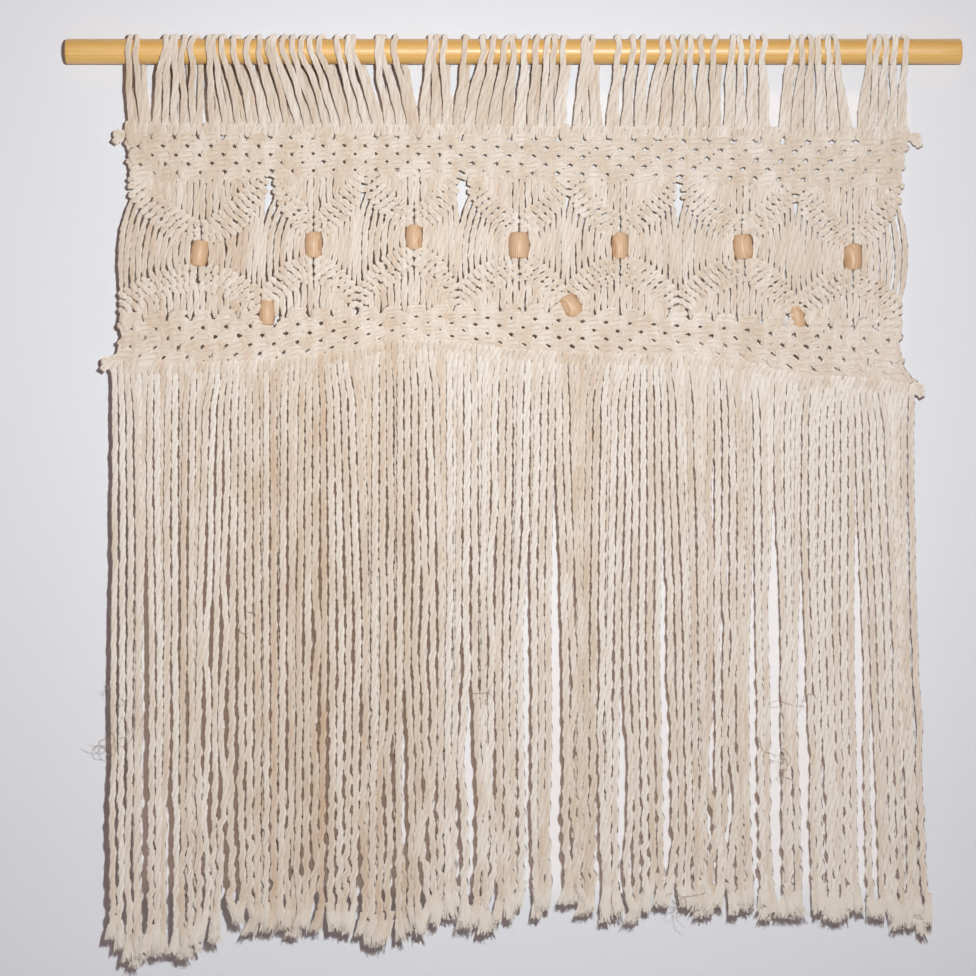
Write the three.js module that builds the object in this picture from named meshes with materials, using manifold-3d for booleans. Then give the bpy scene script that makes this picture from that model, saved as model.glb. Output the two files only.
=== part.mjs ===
// Macrame curtain on a wooden rod: 66 cotton cords folded over a dowel, knotted into a panel with
// seven X motifs and ten wooden beads, and left hanging below it as a long frayed fringe.
// X runs along the rod to the viewer's right, Y away from the viewer and Z up, in millimetres.
// The origin is the middle of the rod's axis, and a drop is a distance below that axis.
import * as THREE from 'three';
import { mergeVertices } from 'three/addons/utils/BufferGeometryUtils.js';
import Module from 'manifold-3d';

const wasm = await Module();
wasm.setup();

// Rod
const ROD_LENGTH = 895;
const ROD_RADIUS = 12.5;
const ROD_EDGE_ROUND = 1.5;
const ROD_SIDES = 24;

// Cord and the gap between separate pieces
const PIECE_GAP = 0.3;
const MERGE_DISTANCE = 1e-4;
const STRANDS = 132;
const CORD_SIDES = 3;
const LOOP_WIDTH = 4.8;
const CORD_DEPTH = 5;
const PANEL_STRAND_WIDTH = 4.4;
const ROOT = 4;
const SHORTEST_STRAND = 11;

// Loops over the rod, by groups that hang together: where the first and last loop of the group
// cross the rod, and where their front legs enter the top row of hitches.
const LOOP_GROUPS = [
  { loops: 2, topFrom: -383, topTo: -375, footFrom: -382, footTo: -371 },
  { loops: 5, topFrom: -350, topTo: -318, footFrom: -358, footTo: -313 },
  { loops: 3, topFrom: -304, topTo: -290, footFrom: -301, footTo: -274 },
  { loops: 4, topFrom: -278, topTo: -243, footFrom: -262, footTo: -226 },
  { loops: 6, topFrom: -238, topTo: -193, footFrom: -215, footTo: -169 },
  { loops: 3, topFrom: -177, topTo: -158, footFrom: -158, footTo: -137 },
  { loops: 3, topFrom: -137, topTo: -120, footFrom: -126, footTo: -102 },
  { loops: 3, topFrom: -85, topTo: -69, footFrom: -91, footTo: -68 },
  { loops: 1, topFrom: -52, topTo: -52, footFrom: -57, footTo: -57 },
  { loops: 2, topFrom: -32, topTo: -22, footFrom: -46, footTo: -35 },
  { loops: 4, topFrom: -10, topTo: 22, footFrom: -23, footTo: 17 },
  { loops: 3, topFrom: 33, topTo: 48, footFrom: 28, footTo: 51 },
  { loops: 3, topFrom: 73, topTo: 86, footFrom: 62, footTo: 84 },
  { loops: 3, topFrom: 110, topTo: 130, footFrom: 95, footTo: 124 },
  { loops: 6, topFrom: 151, topTo: 199, footFrom: 135, footTo: 201 },
  { loops: 4, topFrom: 220, topTo: 250, footFrom: 213, footTo: 253 },
  { loops: 6, topFrom: 277, topTo: 323, footFrom: 265, footTo: 331 },
  { loops: 5, topFrom: 355, topTo: 394, footFrom: 343, footTo: 382 },
];
const BACK_LEG_SHIFT = 5.5;
const LOOP_ARC_STEPS = 4;

// Side edges of the panel, which is drawn in at its top band and wider lower down
const PANEL_EDGES = [
  { drop: 76, left: -386, right: 391 },
  { drop: 130, left: -386, right: 390 },
  { drop: 180, left: -395, right: 396 },
  { drop: 235, left: -398, right: 395 },
  { drop: 285, left: -395, right: 391 },
];

// Top row of hitches and the band of square knots under it
const TOP_ROW_DROP = { left: 70, right: 76 };
const ROW_HEIGHT = 14;
const ROW_HALF_DEPTH = 6.4;
const ROW_FLUTE = 1.2;
const ROW_COLUMNS = 66;
const LIP = 1;
const END_KNOT_RADIUS = 7;
const END_KNOT_SIDES = 8;
const END_KNOT_RINGS = 6;
const TOP_BAND_BOTTOM = 130;
const BAND_HALF_DEPTH = 5;
const KNOT_HEIGHT = 2;
const KNOT_COLUMNS = 66;
const TOP_BAND_ROWS = 5;
const LOWER_BAND_ROWS = 4;
const FUSE = 2;

// X motifs, left to right: the strands each one takes, how wide it stands apart from the next
// one at its upper corner, and the bead at its crossing. A tilt leans the bead's top to +X.
const MOTIFS = [
  { strands: 24, parting: 8, x: -314, drop: 202, width: 18, height: 26, tilt: 8 },
  { strands: 16, parting: 2.5, x: -200, drop: 193.5, width: 17.5, height: 26, tilt: 0 },
  { strands: 16, parting: 11, x: -99.5, drop: 186, width: 17, height: 25, tilt: 0 },
  { strands: 19, parting: 2.5, x: 5.5, drop: 194, width: 21, height: 26, tilt: 0 },
  { strands: 19, parting: 9, x: 106.5, drop: 194.5, width: 17, height: 26, tilt: 0 },
  { strands: 20, parting: 3, x: 229.5, drop: 195.5, width: 20, height: 25, tilt: -6 },
  { strands: 18, parting: 2, x: 339.5, drop: 205.5, width: 18.5, height: 26, tilt: 0 },
];
const LOWER_PARTING = 2;

// Beads that hang between two motifs, under their lower corners
const LOWER_BEADS = [
  { x: -246.5, drop: 261.5, width: 16.5, height: 24, tilt: 0 },
  { x: 57.5, drop: 254.5, width: 20, height: 22, tilt: -35 },
  { x: 283.5, drop: 265.5, width: 15, height: 21, tilt: -15 },
];
const BEAD_BORE = 10.5;
const BEAD_RIM = 0.8;
const BEAD_END = 0.74;
const BEAD_FULL_WIDTH = 0.4;
const BEAD_SIDES = 10;
const BEAD_CLEARANCE = 0.6;
const BEAD_PAIR_WIDTH = 8;
const BEAD_PAIR_HALF_DEPTH = 2.6;
const BEAD_PAIR_REACH = 9;
const PAIR_SPACING = 8;

// Diagonal bars of each motif, two rows of hitches wide, above and below the bead
const UPPER_BAR = { outerHeight: 20, innerHeight: 25 };
const LOWER_BAR = { outerHeight: 22, innerHeight: 24 };
const BAR_TO_BEAD = 3;
const BAR_COLUMNS = 5;
const BAR_LINES = 4;
const BAR_HALF_DEPTH = 4;
const BAR_RIDGE = 2.4;
const BAR_VALLEY = 0.4;

// Lower row of hitches, which hangs in an arch
const ROW_ARCH = [
  { x: -399, bottom: 316.5 },
  { x: -213.5, bottom: 306.5 },
  { x: -63.5, bottom: 298.5 },
  { x: 126.5, bottom: 308.5 },
  { x: 266.5, bottom: 320.5 },
  { x: 401, bottom: 336 },
];
const LOWER_BAND_TOP = { left: 264, middle: 254, right: 269 };

// Fringe: where the cut ends lie along the hem, and the slits where strands hang apart
const HEM = [
  { x: -404, drop: 890 },
  { x: -385, drop: 909 },
  { x: -356, drop: 899 },
  { x: -336, drop: 903 },
  { x: -306, drop: 888 },
  { x: -276, drop: 869 },
  { x: -236, drop: 874 },
  { x: -185, drop: 877 },
  { x: -126, drop: 888 },
  { x: -93, drop: 876 },
  { x: -68, drop: 864 },
  { x: -33, drop: 876 },
  { x: 6, drop: 860 },
  { x: 57, drop: 851 },
  { x: 126, drop: 863 },
  { x: 166, drop: 854 },
  { x: 236, drop: 858 },
  { x: 283, drop: 865 },
  { x: 343, drop: 866 },
  { x: 388, drop: 876 },
  { x: 423, drop: 873 },
];
const SLITS = [
  { x: -365, width: 7, from: 420 },
  { x: -272, width: 3, from: 520 },
  { x: -159, width: 5, from: 440 },
  { x: -124, width: 6, from: 340 },
  { x: -46, width: 7, from: 540 },
  { x: 13, width: 4, from: 520 },
  { x: 43, width: 8, from: 370 },
  { x: 110, width: 4, from: 600 },
  { x: 151, width: 5, from: 500 },
  { x: 235, width: 4, from: 540 },
  { x: 261, width: 10, from: 460 },
  { x: 294, width: 8, from: 560 },
  { x: 345, width: 5, from: 480 },
];
const SLIT_OPENING = 220;
const SLIT_REACH = 30;
const FRINGE_LEFT_DRIFT = -5;
const FRINGE_RIGHT_DRIFT = 24;
const FRINGE_WIDTH = 4.9;
const FRINGE_BEND = 0.6;
const TUFT_LENGTH = 20;
const TUFT_WIDTH = 7.5;
const TUFT_DEPTH = 6.5;

const FRONT = new THREE.Vector3(0, -1, 0);
const BACK = new THREE.Vector3(0, 1, 0);
const lerp = THREE.MathUtils.lerp;
const radians = THREE.MathUtils.degToRad;

// Straight-line value of a table's column between the rows that lie either side of a key
function between(table, key, value, column) {
  const last = table.length - 1;
  let row = 0;
  while (row < last - 1 && table[row + 1][key] < value) {
    row += 1;
  }
  const share = (value - table[row][key]) / (table[row + 1][key] - table[row][key]);
  return lerp(table[row][column], table[row + 1][column], THREE.MathUtils.clamp(share, 0, 1));
}

const archCurve = new THREE.SplineCurve(ROW_ARCH.map((row) => new THREE.Vector2(row.x, row.bottom)));
const archPoints = archCurve.getPoints(ROW_COLUMNS * 2).map((point) => ({ x: point.x, bottom: point.y }));

function archBottom(x) {
  return between(archPoints, 'x', x, 'bottom');
}

function panelX(share, drop) {
  const left = between(PANEL_EDGES, 'drop', drop, 'left');
  const right = between(PANEL_EDGES, 'drop', drop, 'right');
  return lerp(left, right, share);
}

function archX(share) {
  return lerp(ROW_ARCH[0].x, ROW_ARCH[ROW_ARCH.length - 1].x, share);
}

function topRowTop(share) {
  return lerp(TOP_ROW_DROP.left, TOP_ROW_DROP.right, share);
}

function lowerBandTop(share) {
  const { left, middle, right } = LOWER_BAND_TOP;
  return share < 0.5 ? lerp(left, middle, share * 2) : lerp(middle, right, share * 2 - 1);
}

// Closed solid of a geometry whose shared points are merged, without triangles that this closes up
function solid(geometry) {
  geometry.deleteAttribute('normal');
  geometry.deleteAttribute('uv');
  const merged = mergeVertices(geometry, MERGE_DISTANCE);
  const corners = merged.index.array;
  const kept = [];
  for (let i = 0; i < corners.length; i += 3) {
    const [a, b, c] = corners.subarray(i, i + 3);
    if (a !== b && b !== c && c !== a) {
      kept.push(a, b, c);
    }
  }
  return new wasm.Manifold(new wasm.Mesh({
    numProp: 3,
    vertProperties: new Float32Array(merged.attributes.position.array),
    triVerts: new Uint32Array(kept),
  }));
}

function join(solids) {
  return wasm.Manifold.union(solids);
}

function largestBody(shape) {
  const bodies = shape.decompose();
  return bodies.reduce((best, body) => (body.volume() > best.volume() ? body : best));
}

// Three-sided cord through its stations. A station lies on the cord's flat side, and the cord's
// ridge stands out from it. X, the cord's direction and the ridge make a right-handed set.
// The unit section that it starts from has its ridge at Z 1 and its flat side at Z -0.5.
function cord(stations) {
  const last = stations.length - 1;
  const geometry = new THREE.CylinderGeometry(1, 1, last, CORD_SIDES, last);
  const points = geometry.attributes.position;
  for (let i = 0; i < points.count; i += 1) {
    const station = stations[Math.round(points.getY(i) + last / 2)];
    const capCentre = Math.hypot(points.getX(i), points.getZ(i)) < 0.5;
    const sideways = (points.getX(i) * station.width) / Math.sqrt(3);
    const rise = capCentre ? 1 : (points.getZ(i) + 0.5) / 1.5;
    const point = station.at.clone().addScaledVector(station.out, rise * station.depth);
    points.setXYZ(i, point.x + sideways, point.y, point.z);
  }
  return solid(geometry);
}

// Box of columns and lines whose points are placed one by one. Points placed together close up,
// so a plain back or edge needs few triangles.
function plate(columns, lines, place) {
  const geometry = new THREE.BoxGeometry(1, 1, 1, columns, lines, 1);
  const points = geometry.attributes.position;
  for (let i = 0; i < points.count; i += 1) {
    const column = Math.round((points.getX(i) + 0.5) * columns);
    const line = Math.round((points.getY(i) + 0.5) * lines);
    const point = place(column, line, points.getZ(i) > 0);
    points.setXYZ(i, point.x, point.y, point.z);
  }
  return solid(geometry);
}

// The nearest of a few evenly spread columns or lines
function nearestOf(few, index, all) {
  return (Math.round((index / all) * few) * all) / few;
}

function endKnot(x, drop) {
  const geometry = new THREE.SphereGeometry(END_KNOT_RADIUS, END_KNOT_SIDES, END_KNOT_RINGS);
  geometry.translate(x, 0, -drop);
  return solid(geometry);
}

// Rod with lightly rounded ends
function buildRod() {
  const half = ROD_LENGTH / 2;
  const profile = [
    new THREE.Vector2(0, -half),
    new THREE.Vector2(ROD_RADIUS - ROD_EDGE_ROUND, -half),
    new THREE.Vector2(ROD_RADIUS, -half + ROD_EDGE_ROUND),
    new THREE.Vector2(ROD_RADIUS, half - ROD_EDGE_ROUND),
    new THREE.Vector2(ROD_RADIUS - ROD_EDGE_ROUND, half),
    new THREE.Vector2(0, half),
  ];
  const geometry = new THREE.LatheGeometry(profile, ROD_SIDES);
  geometry.rotateZ(Math.PI / 2);
  return solid(geometry);
}

// One cord folded over the rod: front leg, arc over the top and back leg, with a lean along the rod
function hangingLoop(topX, frontFootX) {
  const innerRadius = ROD_RADIUS + PIECE_GAP;
  const share = (frontFootX - PANEL_EDGES[0].left) / (PANEL_EDGES[0].right - PANEL_EDGES[0].left);
  const footDrop = topRowTop(share) + ROOT;
  const lean = Math.asin(innerRadius / footDrop);
  const step = (Math.PI + 2 * lean) / LOOP_ARC_STEPS;
  const mitre = 1 / Math.cos(step / 2);
  const stations = [];
  const foot = (x, out) => ({
    at: new THREE.Vector3(x, 0, -footDrop),
    out,
    width: LOOP_WIDTH,
    depth: CORD_DEPTH,
  });
  stations.push(foot(frontFootX, FRONT));
  for (let i = 0; i < LOOP_ARC_STEPS; i += 1) {
    const angle = lean - step * (i + 0.5);
    const out = new THREE.Vector3(0, -Math.cos(angle), -Math.sin(angle));
    const at = out.clone().multiplyScalar(innerRadius * mitre).setX(topX);
    stations.push({ at, out, width: LOOP_WIDTH, depth: CORD_DEPTH * mitre });
  }
  stations.push(foot(frontFootX + BACK_LEG_SHIFT, BACK));
  return cord(stations);
}

function buildLoops() {
  const loops = [];
  for (const group of LOOP_GROUPS) {
    for (let i = 0; i < group.loops; i += 1) {
      const share = group.loops > 1 ? i / (group.loops - 1) : 0;
      loops.push(hangingLoop(
        lerp(group.topFrom, group.topTo, share),
        lerp(group.footFrom, group.footTo, share),
      ));
    }
  }
  return loops;
}

// Straight top row of hitches: fluted front, plain back, and a plain lip where the legs go in
function topHitchRow() {
  const lines = 3;
  const lineDrop = [ROW_HEIGHT, ROW_HEIGHT / 2, LIP, 0];
  return plate(ROW_COLUMNS, lines, (column, line, front) => {
    const plain = !front || line === lines;
    const share = (plain ? nearestOf(1, column, ROW_COLUMNS) : column) / ROW_COLUMNS;
    const height = front ? line : nearestOf(1, line, lines);
    const flute = front && height < 2 ? (column % 2) * ROW_FLUTE : 0;
    const depth = ROW_HALF_DEPTH + flute;
    return { x: topRowX(share), y: front ? -depth : depth, z: -topRowTop(share) - lineDrop[height] };
  });
}

// Arched lower row of hitches, fluted front and back
function archHitchRow() {
  return plate(ROW_COLUMNS, 1, (column, line, front) => {
    const share = column / ROW_COLUMNS;
    const depth = ROW_HALF_DEPTH + (column % 2) * ROW_FLUTE;
    const drop = archTop(share) + (line ? 0 : ROW_HEIGHT);
    return { x: archX(share), y: front ? -depth : depth, z: -drop };
  });
}

// Band of alternating square knots: every second grid point is the crown of a knot. The edge that
// strands go into has a plain lip with few points, and the other edge keeps all its columns.
function knotBand(rows, strandEdge, pointX, bandTop, bandBottom) {
  const lines = rows + 1;
  const atTop = strandEdge.side === 'top';
  return plate(KNOT_COLUMNS, lines, (column, line, front) => {
    const height = front ? line : nearestOf(1, line, lines);
    const fromLip = atTop ? lines - height : height;
    const few = fromLip === 0 || !(front || strandEdge.archedBack);
    const share = (few ? nearestOf(strandEdge.columns, column, KNOT_COLUMNS) : column) / KNOT_COLUMNS;
    const lipDrop = atTop ? bandTop(share) : bandBottom(share);
    const farDrop = atTop ? bandBottom(share) : bandTop(share);
    const lip = atTop ? LIP : -LIP;
    const drop = fromLip === 0 ? lipDrop : lerp(lipDrop + lip, farDrop, (fromLip - 1) / rows);
    const crown = front && fromLip > 1 ? ((column + line) % 2) * KNOT_HEIGHT : 0;
    const y = front ? -BAND_HALF_DEPTH - crown : BAND_HALF_DEPTH;
    return { x: pointX(share, drop), y, z: -drop };
  });
}

// Two diagonal bars that meet in the middle of a motif, with two lumpy rows of hitches on their front
function diagonalBars(left, middle, right) {
  const columns = 2 * BAR_COLUMNS;
  return plate(columns, BAR_LINES, (column, line, front) => {
    const height = front ? line : nearestOf(1, line, BAR_LINES);
    const onEdge = height === 0 || height === BAR_LINES;
    const along = ((onEdge ? nearestOf(2, column, columns) : column) / columns) * 2;
    const [from, to, share] = along < 1 ? [left, middle, along] : [middle, right, along - 1];
    const top = lerp(from.top, to.top, share);
    const bottom = lerp(from.bottom, to.bottom, share);
    const onCrest = height % 2 === 1;
    const ridge = front && onCrest ? BAR_RIDGE * (column % 2 ? 1 : BAR_VALLEY) : 0;
    const depth = BAR_HALF_DEPTH + ridge;
    return {
      x: lerp(from.x, to.x, share),
      y: front ? -depth : depth,
      z: -lerp(bottom, top, height / BAR_LINES),
    };
  });
}

function uprightCord(points) {
  const y = CORD_DEPTH / 2;
  return cord(points.map(({ x, drop }) => ({
    at: new THREE.Vector3(x, y, -drop),
    out: FRONT,
    width: PANEL_STRAND_WIDTH,
    depth: CORD_DEPTH,
  })));
}

// The pair of cords that runs through a bead along its axis
function beadPair(bead) {
  const lean = Math.tan(radians(bead.tilt));
  const reach = bead.height / 2 + BEAD_PAIR_REACH;
  return plate(1, 1, (column, line, front) => {
    const rise = line ? reach : -reach;
    const side = column ? BEAD_PAIR_WIDTH / 2 : -BEAD_PAIR_WIDTH / 2;
    const y = front ? -BEAD_PAIR_HALF_DEPTH : BEAD_PAIR_HALF_DEPTH;
    return { x: bead.x + rise * lean + side, y, z: rise - bead.drop };
  });
}

function placeBead(geometry, bead) {
  geometry.rotateX(Math.PI / 2);
  geometry.rotateY(radians(bead.tilt));
  geometry.translate(bead.x, 0, -bead.drop);
  return solid(geometry);
}

// Room that a bead needs in the panel
function beadRoom(bead) {
  const radius = bead.width / 2 + BEAD_CLEARANCE;
  const height = bead.height + 2 * BEAD_CLEARANCE;
  return placeBead(new THREE.CylinderGeometry(radius, radius, height, BEAD_SIDES), bead);
}

function buildBead(bead) {
  const bore = BEAD_BORE / 2;
  const radius = bead.width / 2;
  const half = bead.height / 2;
  const endRadius = Math.max(radius * BEAD_END, bore + BEAD_RIM);
  const profile = [
    new THREE.Vector2(bore, -half),
    new THREE.Vector2(endRadius, -half),
    new THREE.Vector2(radius, -half * BEAD_FULL_WIDTH),
    new THREE.Vector2(radius, half * BEAD_FULL_WIDTH),
    new THREE.Vector2(endRadius, half),
    new THREE.Vector2(bore, half),
    new THREE.Vector2(bore, -half),
  ];
  return placeBead(new THREE.LatheGeometry(profile, BEAD_SIDES), bead);
}

// One X motif: four diagonal bars and the strands that hang free between them
function buildMotif(motif, firstStrand, partingBefore) {
  const leftShare = firstStrand / STRANDS;
  const rightShare = (firstStrand + motif.strands) / STRANDS;
  const bandTop = (share) => lowerBandTop(lerp(leftShare, rightShare, share));
  const lean = Math.tan(radians(motif.tilt)) * (motif.height / 2);
  const reach = motif.height / 2 + BAR_TO_BEAD;
  const upperEdge = (x) => ({ x, top: TOP_BAND_BOTTOM, bottom: TOP_BAND_BOTTOM + UPPER_BAR.outerHeight });
  const lowerEdge = (x, bottom) => ({ x, top: bottom - LOWER_BAR.outerHeight, bottom });
  const tip = motif.drop - reach;
  const fork = motif.drop + reach;
  const upper = {
    left: upperEdge(panelX(leftShare, TOP_BAND_BOTTOM) + partingBefore / 2),
    middle: { x: motif.x + lean, top: tip - UPPER_BAR.innerHeight, bottom: tip },
    right: upperEdge(panelX(rightShare, TOP_BAND_BOTTOM) - motif.parting / 2),
  };
  const lower = {
    left: lowerEdge(panelX(leftShare, bandTop(0)) + LOWER_PARTING / 2, bandTop(0) + FUSE),
    middle: { x: motif.x - lean, top: fork, bottom: fork + LOWER_BAR.innerHeight },
    right: lowerEdge(panelX(rightShare, bandTop(1)) - LOWER_PARTING / 2, bandTop(1) + FUSE),
  };
  const bars = [
    diagonalBars(upper.left, upper.middle, upper.right),
    diagonalBars(lower.left, lower.middle, lower.right),
  ];

  const half = PANEL_STRAND_WIDTH / 2;
  const motifWidth = upper.right.x - upper.left.x;
  const strands = [];
  for (const [side, towardsBead] of [['left', 1], ['right', -1]]) {
    const upperOuter = upper[side];
    const lowerOuter = lower[side];
    const sideShare = Math.abs(motif.x - upperOuter.x) / motifWidth;
    const count = Math.round((motif.strands - 2) * sideShare);
    const inner = motif.x - towardsBead * (motif.width / 2 + BEAD_CLEARANCE + PIECE_GAP + half);
    for (let i = 0; i < count; i += 1) {
      const way = i / (count - 1);
      const upperX = lerp(upperOuter.x + towardsBead * half, inner, way);
      const lowerX = lerp(lowerOuter.x + towardsBead * half, inner, way);
      const upperWay = (upperX - upperOuter.x) / (upper.middle.x - upperOuter.x);
      const lowerWay = (lowerX - lowerOuter.x) / (lower.middle.x - lowerOuter.x);
      const acrossMotif = (lowerX - lower.left.x) / (lower.right.x - lower.left.x);
      const stretches = [
        {
          topX: upperX,
          top: TOP_BAND_BOTTOM,
          bottomX: upperX,
          bottom: lerp(upperOuter.top, upper.middle.top, upperWay),
        },
        {
          topX: upperX,
          top: lerp(upperOuter.bottom, upper.middle.bottom, upperWay),
          bottomX: lowerX,
          bottom: lerp(lowerOuter.top, lower.middle.top, lowerWay),
        },
        {
          topX: lowerX,
          top: lerp(lowerOuter.bottom, lower.middle.bottom, lowerWay),
          bottomX: lowerX,
          bottom: bandTop(acrossMotif),
        },
      ];
      for (const { topX, top, bottomX, bottom } of stretches) {
        if (bottom - top > SHORTEST_STRAND) {
          strands.push(uprightCord([{ x: bottomX, drop: bottom + ROOT }, { x: topX, drop: top - ROOT }]));
        }
      }
    }
  }
  for (const offset of [-PAIR_SPACING / 2, PAIR_SPACING / 2]) {
    const x = motif.x + offset;
    const acrossMotif = (x - lower.left.x) / (lower.right.x - lower.left.x);
    strands.push(uprightCord([
      { x, drop: upper.middle.top + ROOT },
      { x, drop: TOP_BAND_BOTTOM - ROOT },
    ]));
    strands.push(uprightCord([
      { x, drop: bandTop(acrossMotif) + ROOT },
      { x, drop: lower.middle.bottom - ROOT },
    ]));
  }
  return [...bars, ...strands];
}

function topRowX(share) {
  return panelX(share, PANEL_EDGES[0].drop);
}

function topRowBottom(share) {
  return topRowTop(share) + ROW_HEIGHT;
}

function archTop(share) {
  return archBottom(archX(share)) - ROW_HEIGHT;
}

// Heading: the loops on the rod and the row of hitches that gathers them
function buildHeading() {
  return largestBody(join([
    ...buildLoops(),
    topHitchRow(),
    endKnot(topRowX(0) - END_KNOT_RADIUS / 2, TOP_ROW_DROP.left + END_KNOT_RADIUS),
    endKnot(topRowX(1) + END_KNOT_RADIUS / 2, TOP_ROW_DROP.right + END_KNOT_RADIUS),
  ]));
}

// Knotted panel: a band of square knots, the X motifs and a second band of square knots
function buildPanel() {
  const knotsTop = (share) => topRowBottom(share) + PIECE_GAP;
  const knotsBottom = () => TOP_BAND_BOTTOM + FUSE;
  const lowerKnotsBottom = (share) => archTop(share) - PIECE_GAP;
  const lowerKnotX = (share, drop) => {
    const way = (drop - lowerBandTop(share)) / (lowerKnotsBottom(share) - lowerBandTop(share));
    return lerp(panelX(share, drop), archX(share), way);
  };
  const pieces = [
    knotBand(
      TOP_BAND_ROWS,
      { side: 'bottom', columns: 1, archedBack: false },
      panelX,
      knotsTop,
      knotsBottom,
    ),
    knotBand(
      LOWER_BAND_ROWS,
      { side: 'top', columns: 2, archedBack: true },
      lowerKnotX,
      lowerBandTop,
      lowerKnotsBottom,
    ),
  ];
  let firstStrand = 0;
  let partingBefore = 0;
  for (const motif of MOTIFS) {
    pieces.push(...buildMotif(motif, firstStrand, partingBefore));
    firstStrand += motif.strands;
    partingBefore = motif.parting;
  }
  const beads = [...MOTIFS, ...LOWER_BEADS];
  const knotted = join(pieces).subtract(join(beads.map(beadRoom)));
  return largestBody(knotted.add(join(beads.map(beadPair))));
}

// How far a strand of the fringe has moved sideways at a drop, by the slits beside it and by its
// drift, which grows with the cube of the strand's place from the left edge
function fringeShift(x, share, drop, rootDrop, endDrop) {
  const way = (drop - rootDrop) / (endDrop - rootDrop);
  let shift = way * lerp(FRINGE_LEFT_DRIFT, FRINGE_RIGHT_DRIFT, share ** 3);
  for (const slit of SLITS) {
    const opened = THREE.MathUtils.smoothstep(drop, slit.from, slit.from + SLIT_OPENING);
    const nearness = Math.exp(-Math.abs(x - slit.x) / SLIT_REACH);
    shift += Math.sign(x - slit.x) * (slit.width / 2) * opened * nearness;
  }
  return shift;
}

// Fringe strands hang in two layers, every second one in front, from the lower row of hitches
function fringeStrand(index) {
  const share = (index + 0.5) / STRANDS;
  const x = archX(share);
  const rootDrop = archBottom(x) - ROOT;
  const endDrop = between(HEM, 'x', x, 'drop');
  const inFront = index % 2 === 0;
  const out = inFront ? FRONT : BACK;
  const stations = [
    { drop: rootDrop, width: FRINGE_WIDTH, depth: CORD_DEPTH },
    { drop: lerp(rootDrop, endDrop, FRINGE_BEND), width: FRINGE_WIDTH, depth: CORD_DEPTH },
    { drop: endDrop - TUFT_LENGTH, width: FRINGE_WIDTH, depth: CORD_DEPTH },
    { drop: endDrop, width: TUFT_WIDTH, depth: TUFT_DEPTH },
  ].map(({ drop, width, depth }) => ({
    at: new THREE.Vector3(
      x + fringeShift(x, share, drop, rootDrop, endDrop),
      out.y * PIECE_GAP,
      -drop,
    ),
    out,
    width,
    depth,
  }));
  return cord(inFront ? stations.reverse() : stations);
}

function buildFringe() {
  const pieces = [
    archHitchRow(),
    endKnot(archX(0) - END_KNOT_RADIUS / 2, archTop(0) + END_KNOT_RADIUS),
    endKnot(archX(1) + END_KNOT_RADIUS / 2, archTop(1) + END_KNOT_RADIUS),
  ];
  for (let i = 0; i < STRANDS; i += 1) {
    pieces.push(fringeStrand(i));
  }
  return largestBody(join(pieces));
}

const cotton = { color: 0xe6dac6, roughness: 0.95, metalness: 0 };
const rodWood = { color: 0xdcae6c, roughness: 0.4, metalness: 0 };
const beadWood = { color: 0xdcb487, roughness: 0.55, metalness: 0 };

function mesh(name, shape, finish) {
  const { numProp, vertProperties, triVerts } = shape.getMesh();
  const geometry = new THREE.BufferGeometry();
  geometry.setAttribute('position', new THREE.BufferAttribute(new Float32Array(vertProperties), numProp));
  geometry.setIndex(new THREE.BufferAttribute(new Uint32Array(triVerts), 1));
  geometry.computeVertexNormals();
  const piece = new THREE.Mesh(geometry, new THREE.MeshStandardMaterial(finish));
  piece.name = name;
  return piece;
}

const curtain = new THREE.Group();
curtain.add(mesh('rod', buildRod(), rodWood));
curtain.add(mesh('heading', buildHeading(), cotton));
curtain.add(mesh('panel', buildPanel(), cotton));
curtain.add(mesh('fringe', buildFringe(), cotton));
[...MOTIFS, ...LOWER_BEADS].forEach((bead, index) => {
  curtain.add(mesh(`bead_${index + 1}`, buildBead(bead), beadWood));
});

export default curtain;
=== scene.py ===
import math

import bpy
import numpy as np
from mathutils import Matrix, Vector


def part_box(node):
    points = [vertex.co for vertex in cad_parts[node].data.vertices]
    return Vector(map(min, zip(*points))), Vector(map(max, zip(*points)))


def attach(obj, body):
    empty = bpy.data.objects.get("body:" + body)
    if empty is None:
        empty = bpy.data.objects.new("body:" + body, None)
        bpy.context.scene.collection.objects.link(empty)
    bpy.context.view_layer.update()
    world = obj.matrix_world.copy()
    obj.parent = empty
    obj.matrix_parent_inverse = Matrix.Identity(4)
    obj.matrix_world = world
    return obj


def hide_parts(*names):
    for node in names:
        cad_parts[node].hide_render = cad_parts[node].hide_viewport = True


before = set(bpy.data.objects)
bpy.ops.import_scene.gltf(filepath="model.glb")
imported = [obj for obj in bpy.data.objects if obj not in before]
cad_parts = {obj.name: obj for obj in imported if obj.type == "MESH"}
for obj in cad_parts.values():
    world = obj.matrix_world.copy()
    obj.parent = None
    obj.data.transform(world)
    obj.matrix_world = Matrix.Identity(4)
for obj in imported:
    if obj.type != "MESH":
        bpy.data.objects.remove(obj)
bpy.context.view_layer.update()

# The rod: one length of pale round dowel, turned smooth, with its ends lightly rounded over and a coat
# of clear varnish. The cords are folded over it, and its bare ends rest on whatever holds it up.
MM = 0.001
TURN = 2 * math.pi
rod_low, rod_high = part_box("rod")
ROD_RADIUS = (rod_high.z - rod_low.z) / 2 / MM
ROD_HALF = rod_high.x / MM
ROD_EDGE_ROUND = 2.2
ROD_EDGE_STEPS = 6
ROD_SIDES = 72
ROD_STRETCHES = 44
ROD_PITH = np.array([0.0, 26.0, -17.0])
ROD_RING_WIDTH = 2.6
ROD_RELIEF = 0.12
WOOD_RELIEF_DEPTH = 0.0003
RING_TEXTURE_STEP = TURN / 20
LATE_WOOD_EDGE = (0.45, 1.0)
FIBRE_STRETCH = (2.4, 2.4, 0.035)
FIBRE_EDGE = (0.48, 0.72)
FIBRE_SHARE = 0.5
WOOD_ROUGHNESS = (0.36, 0.5)


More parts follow.
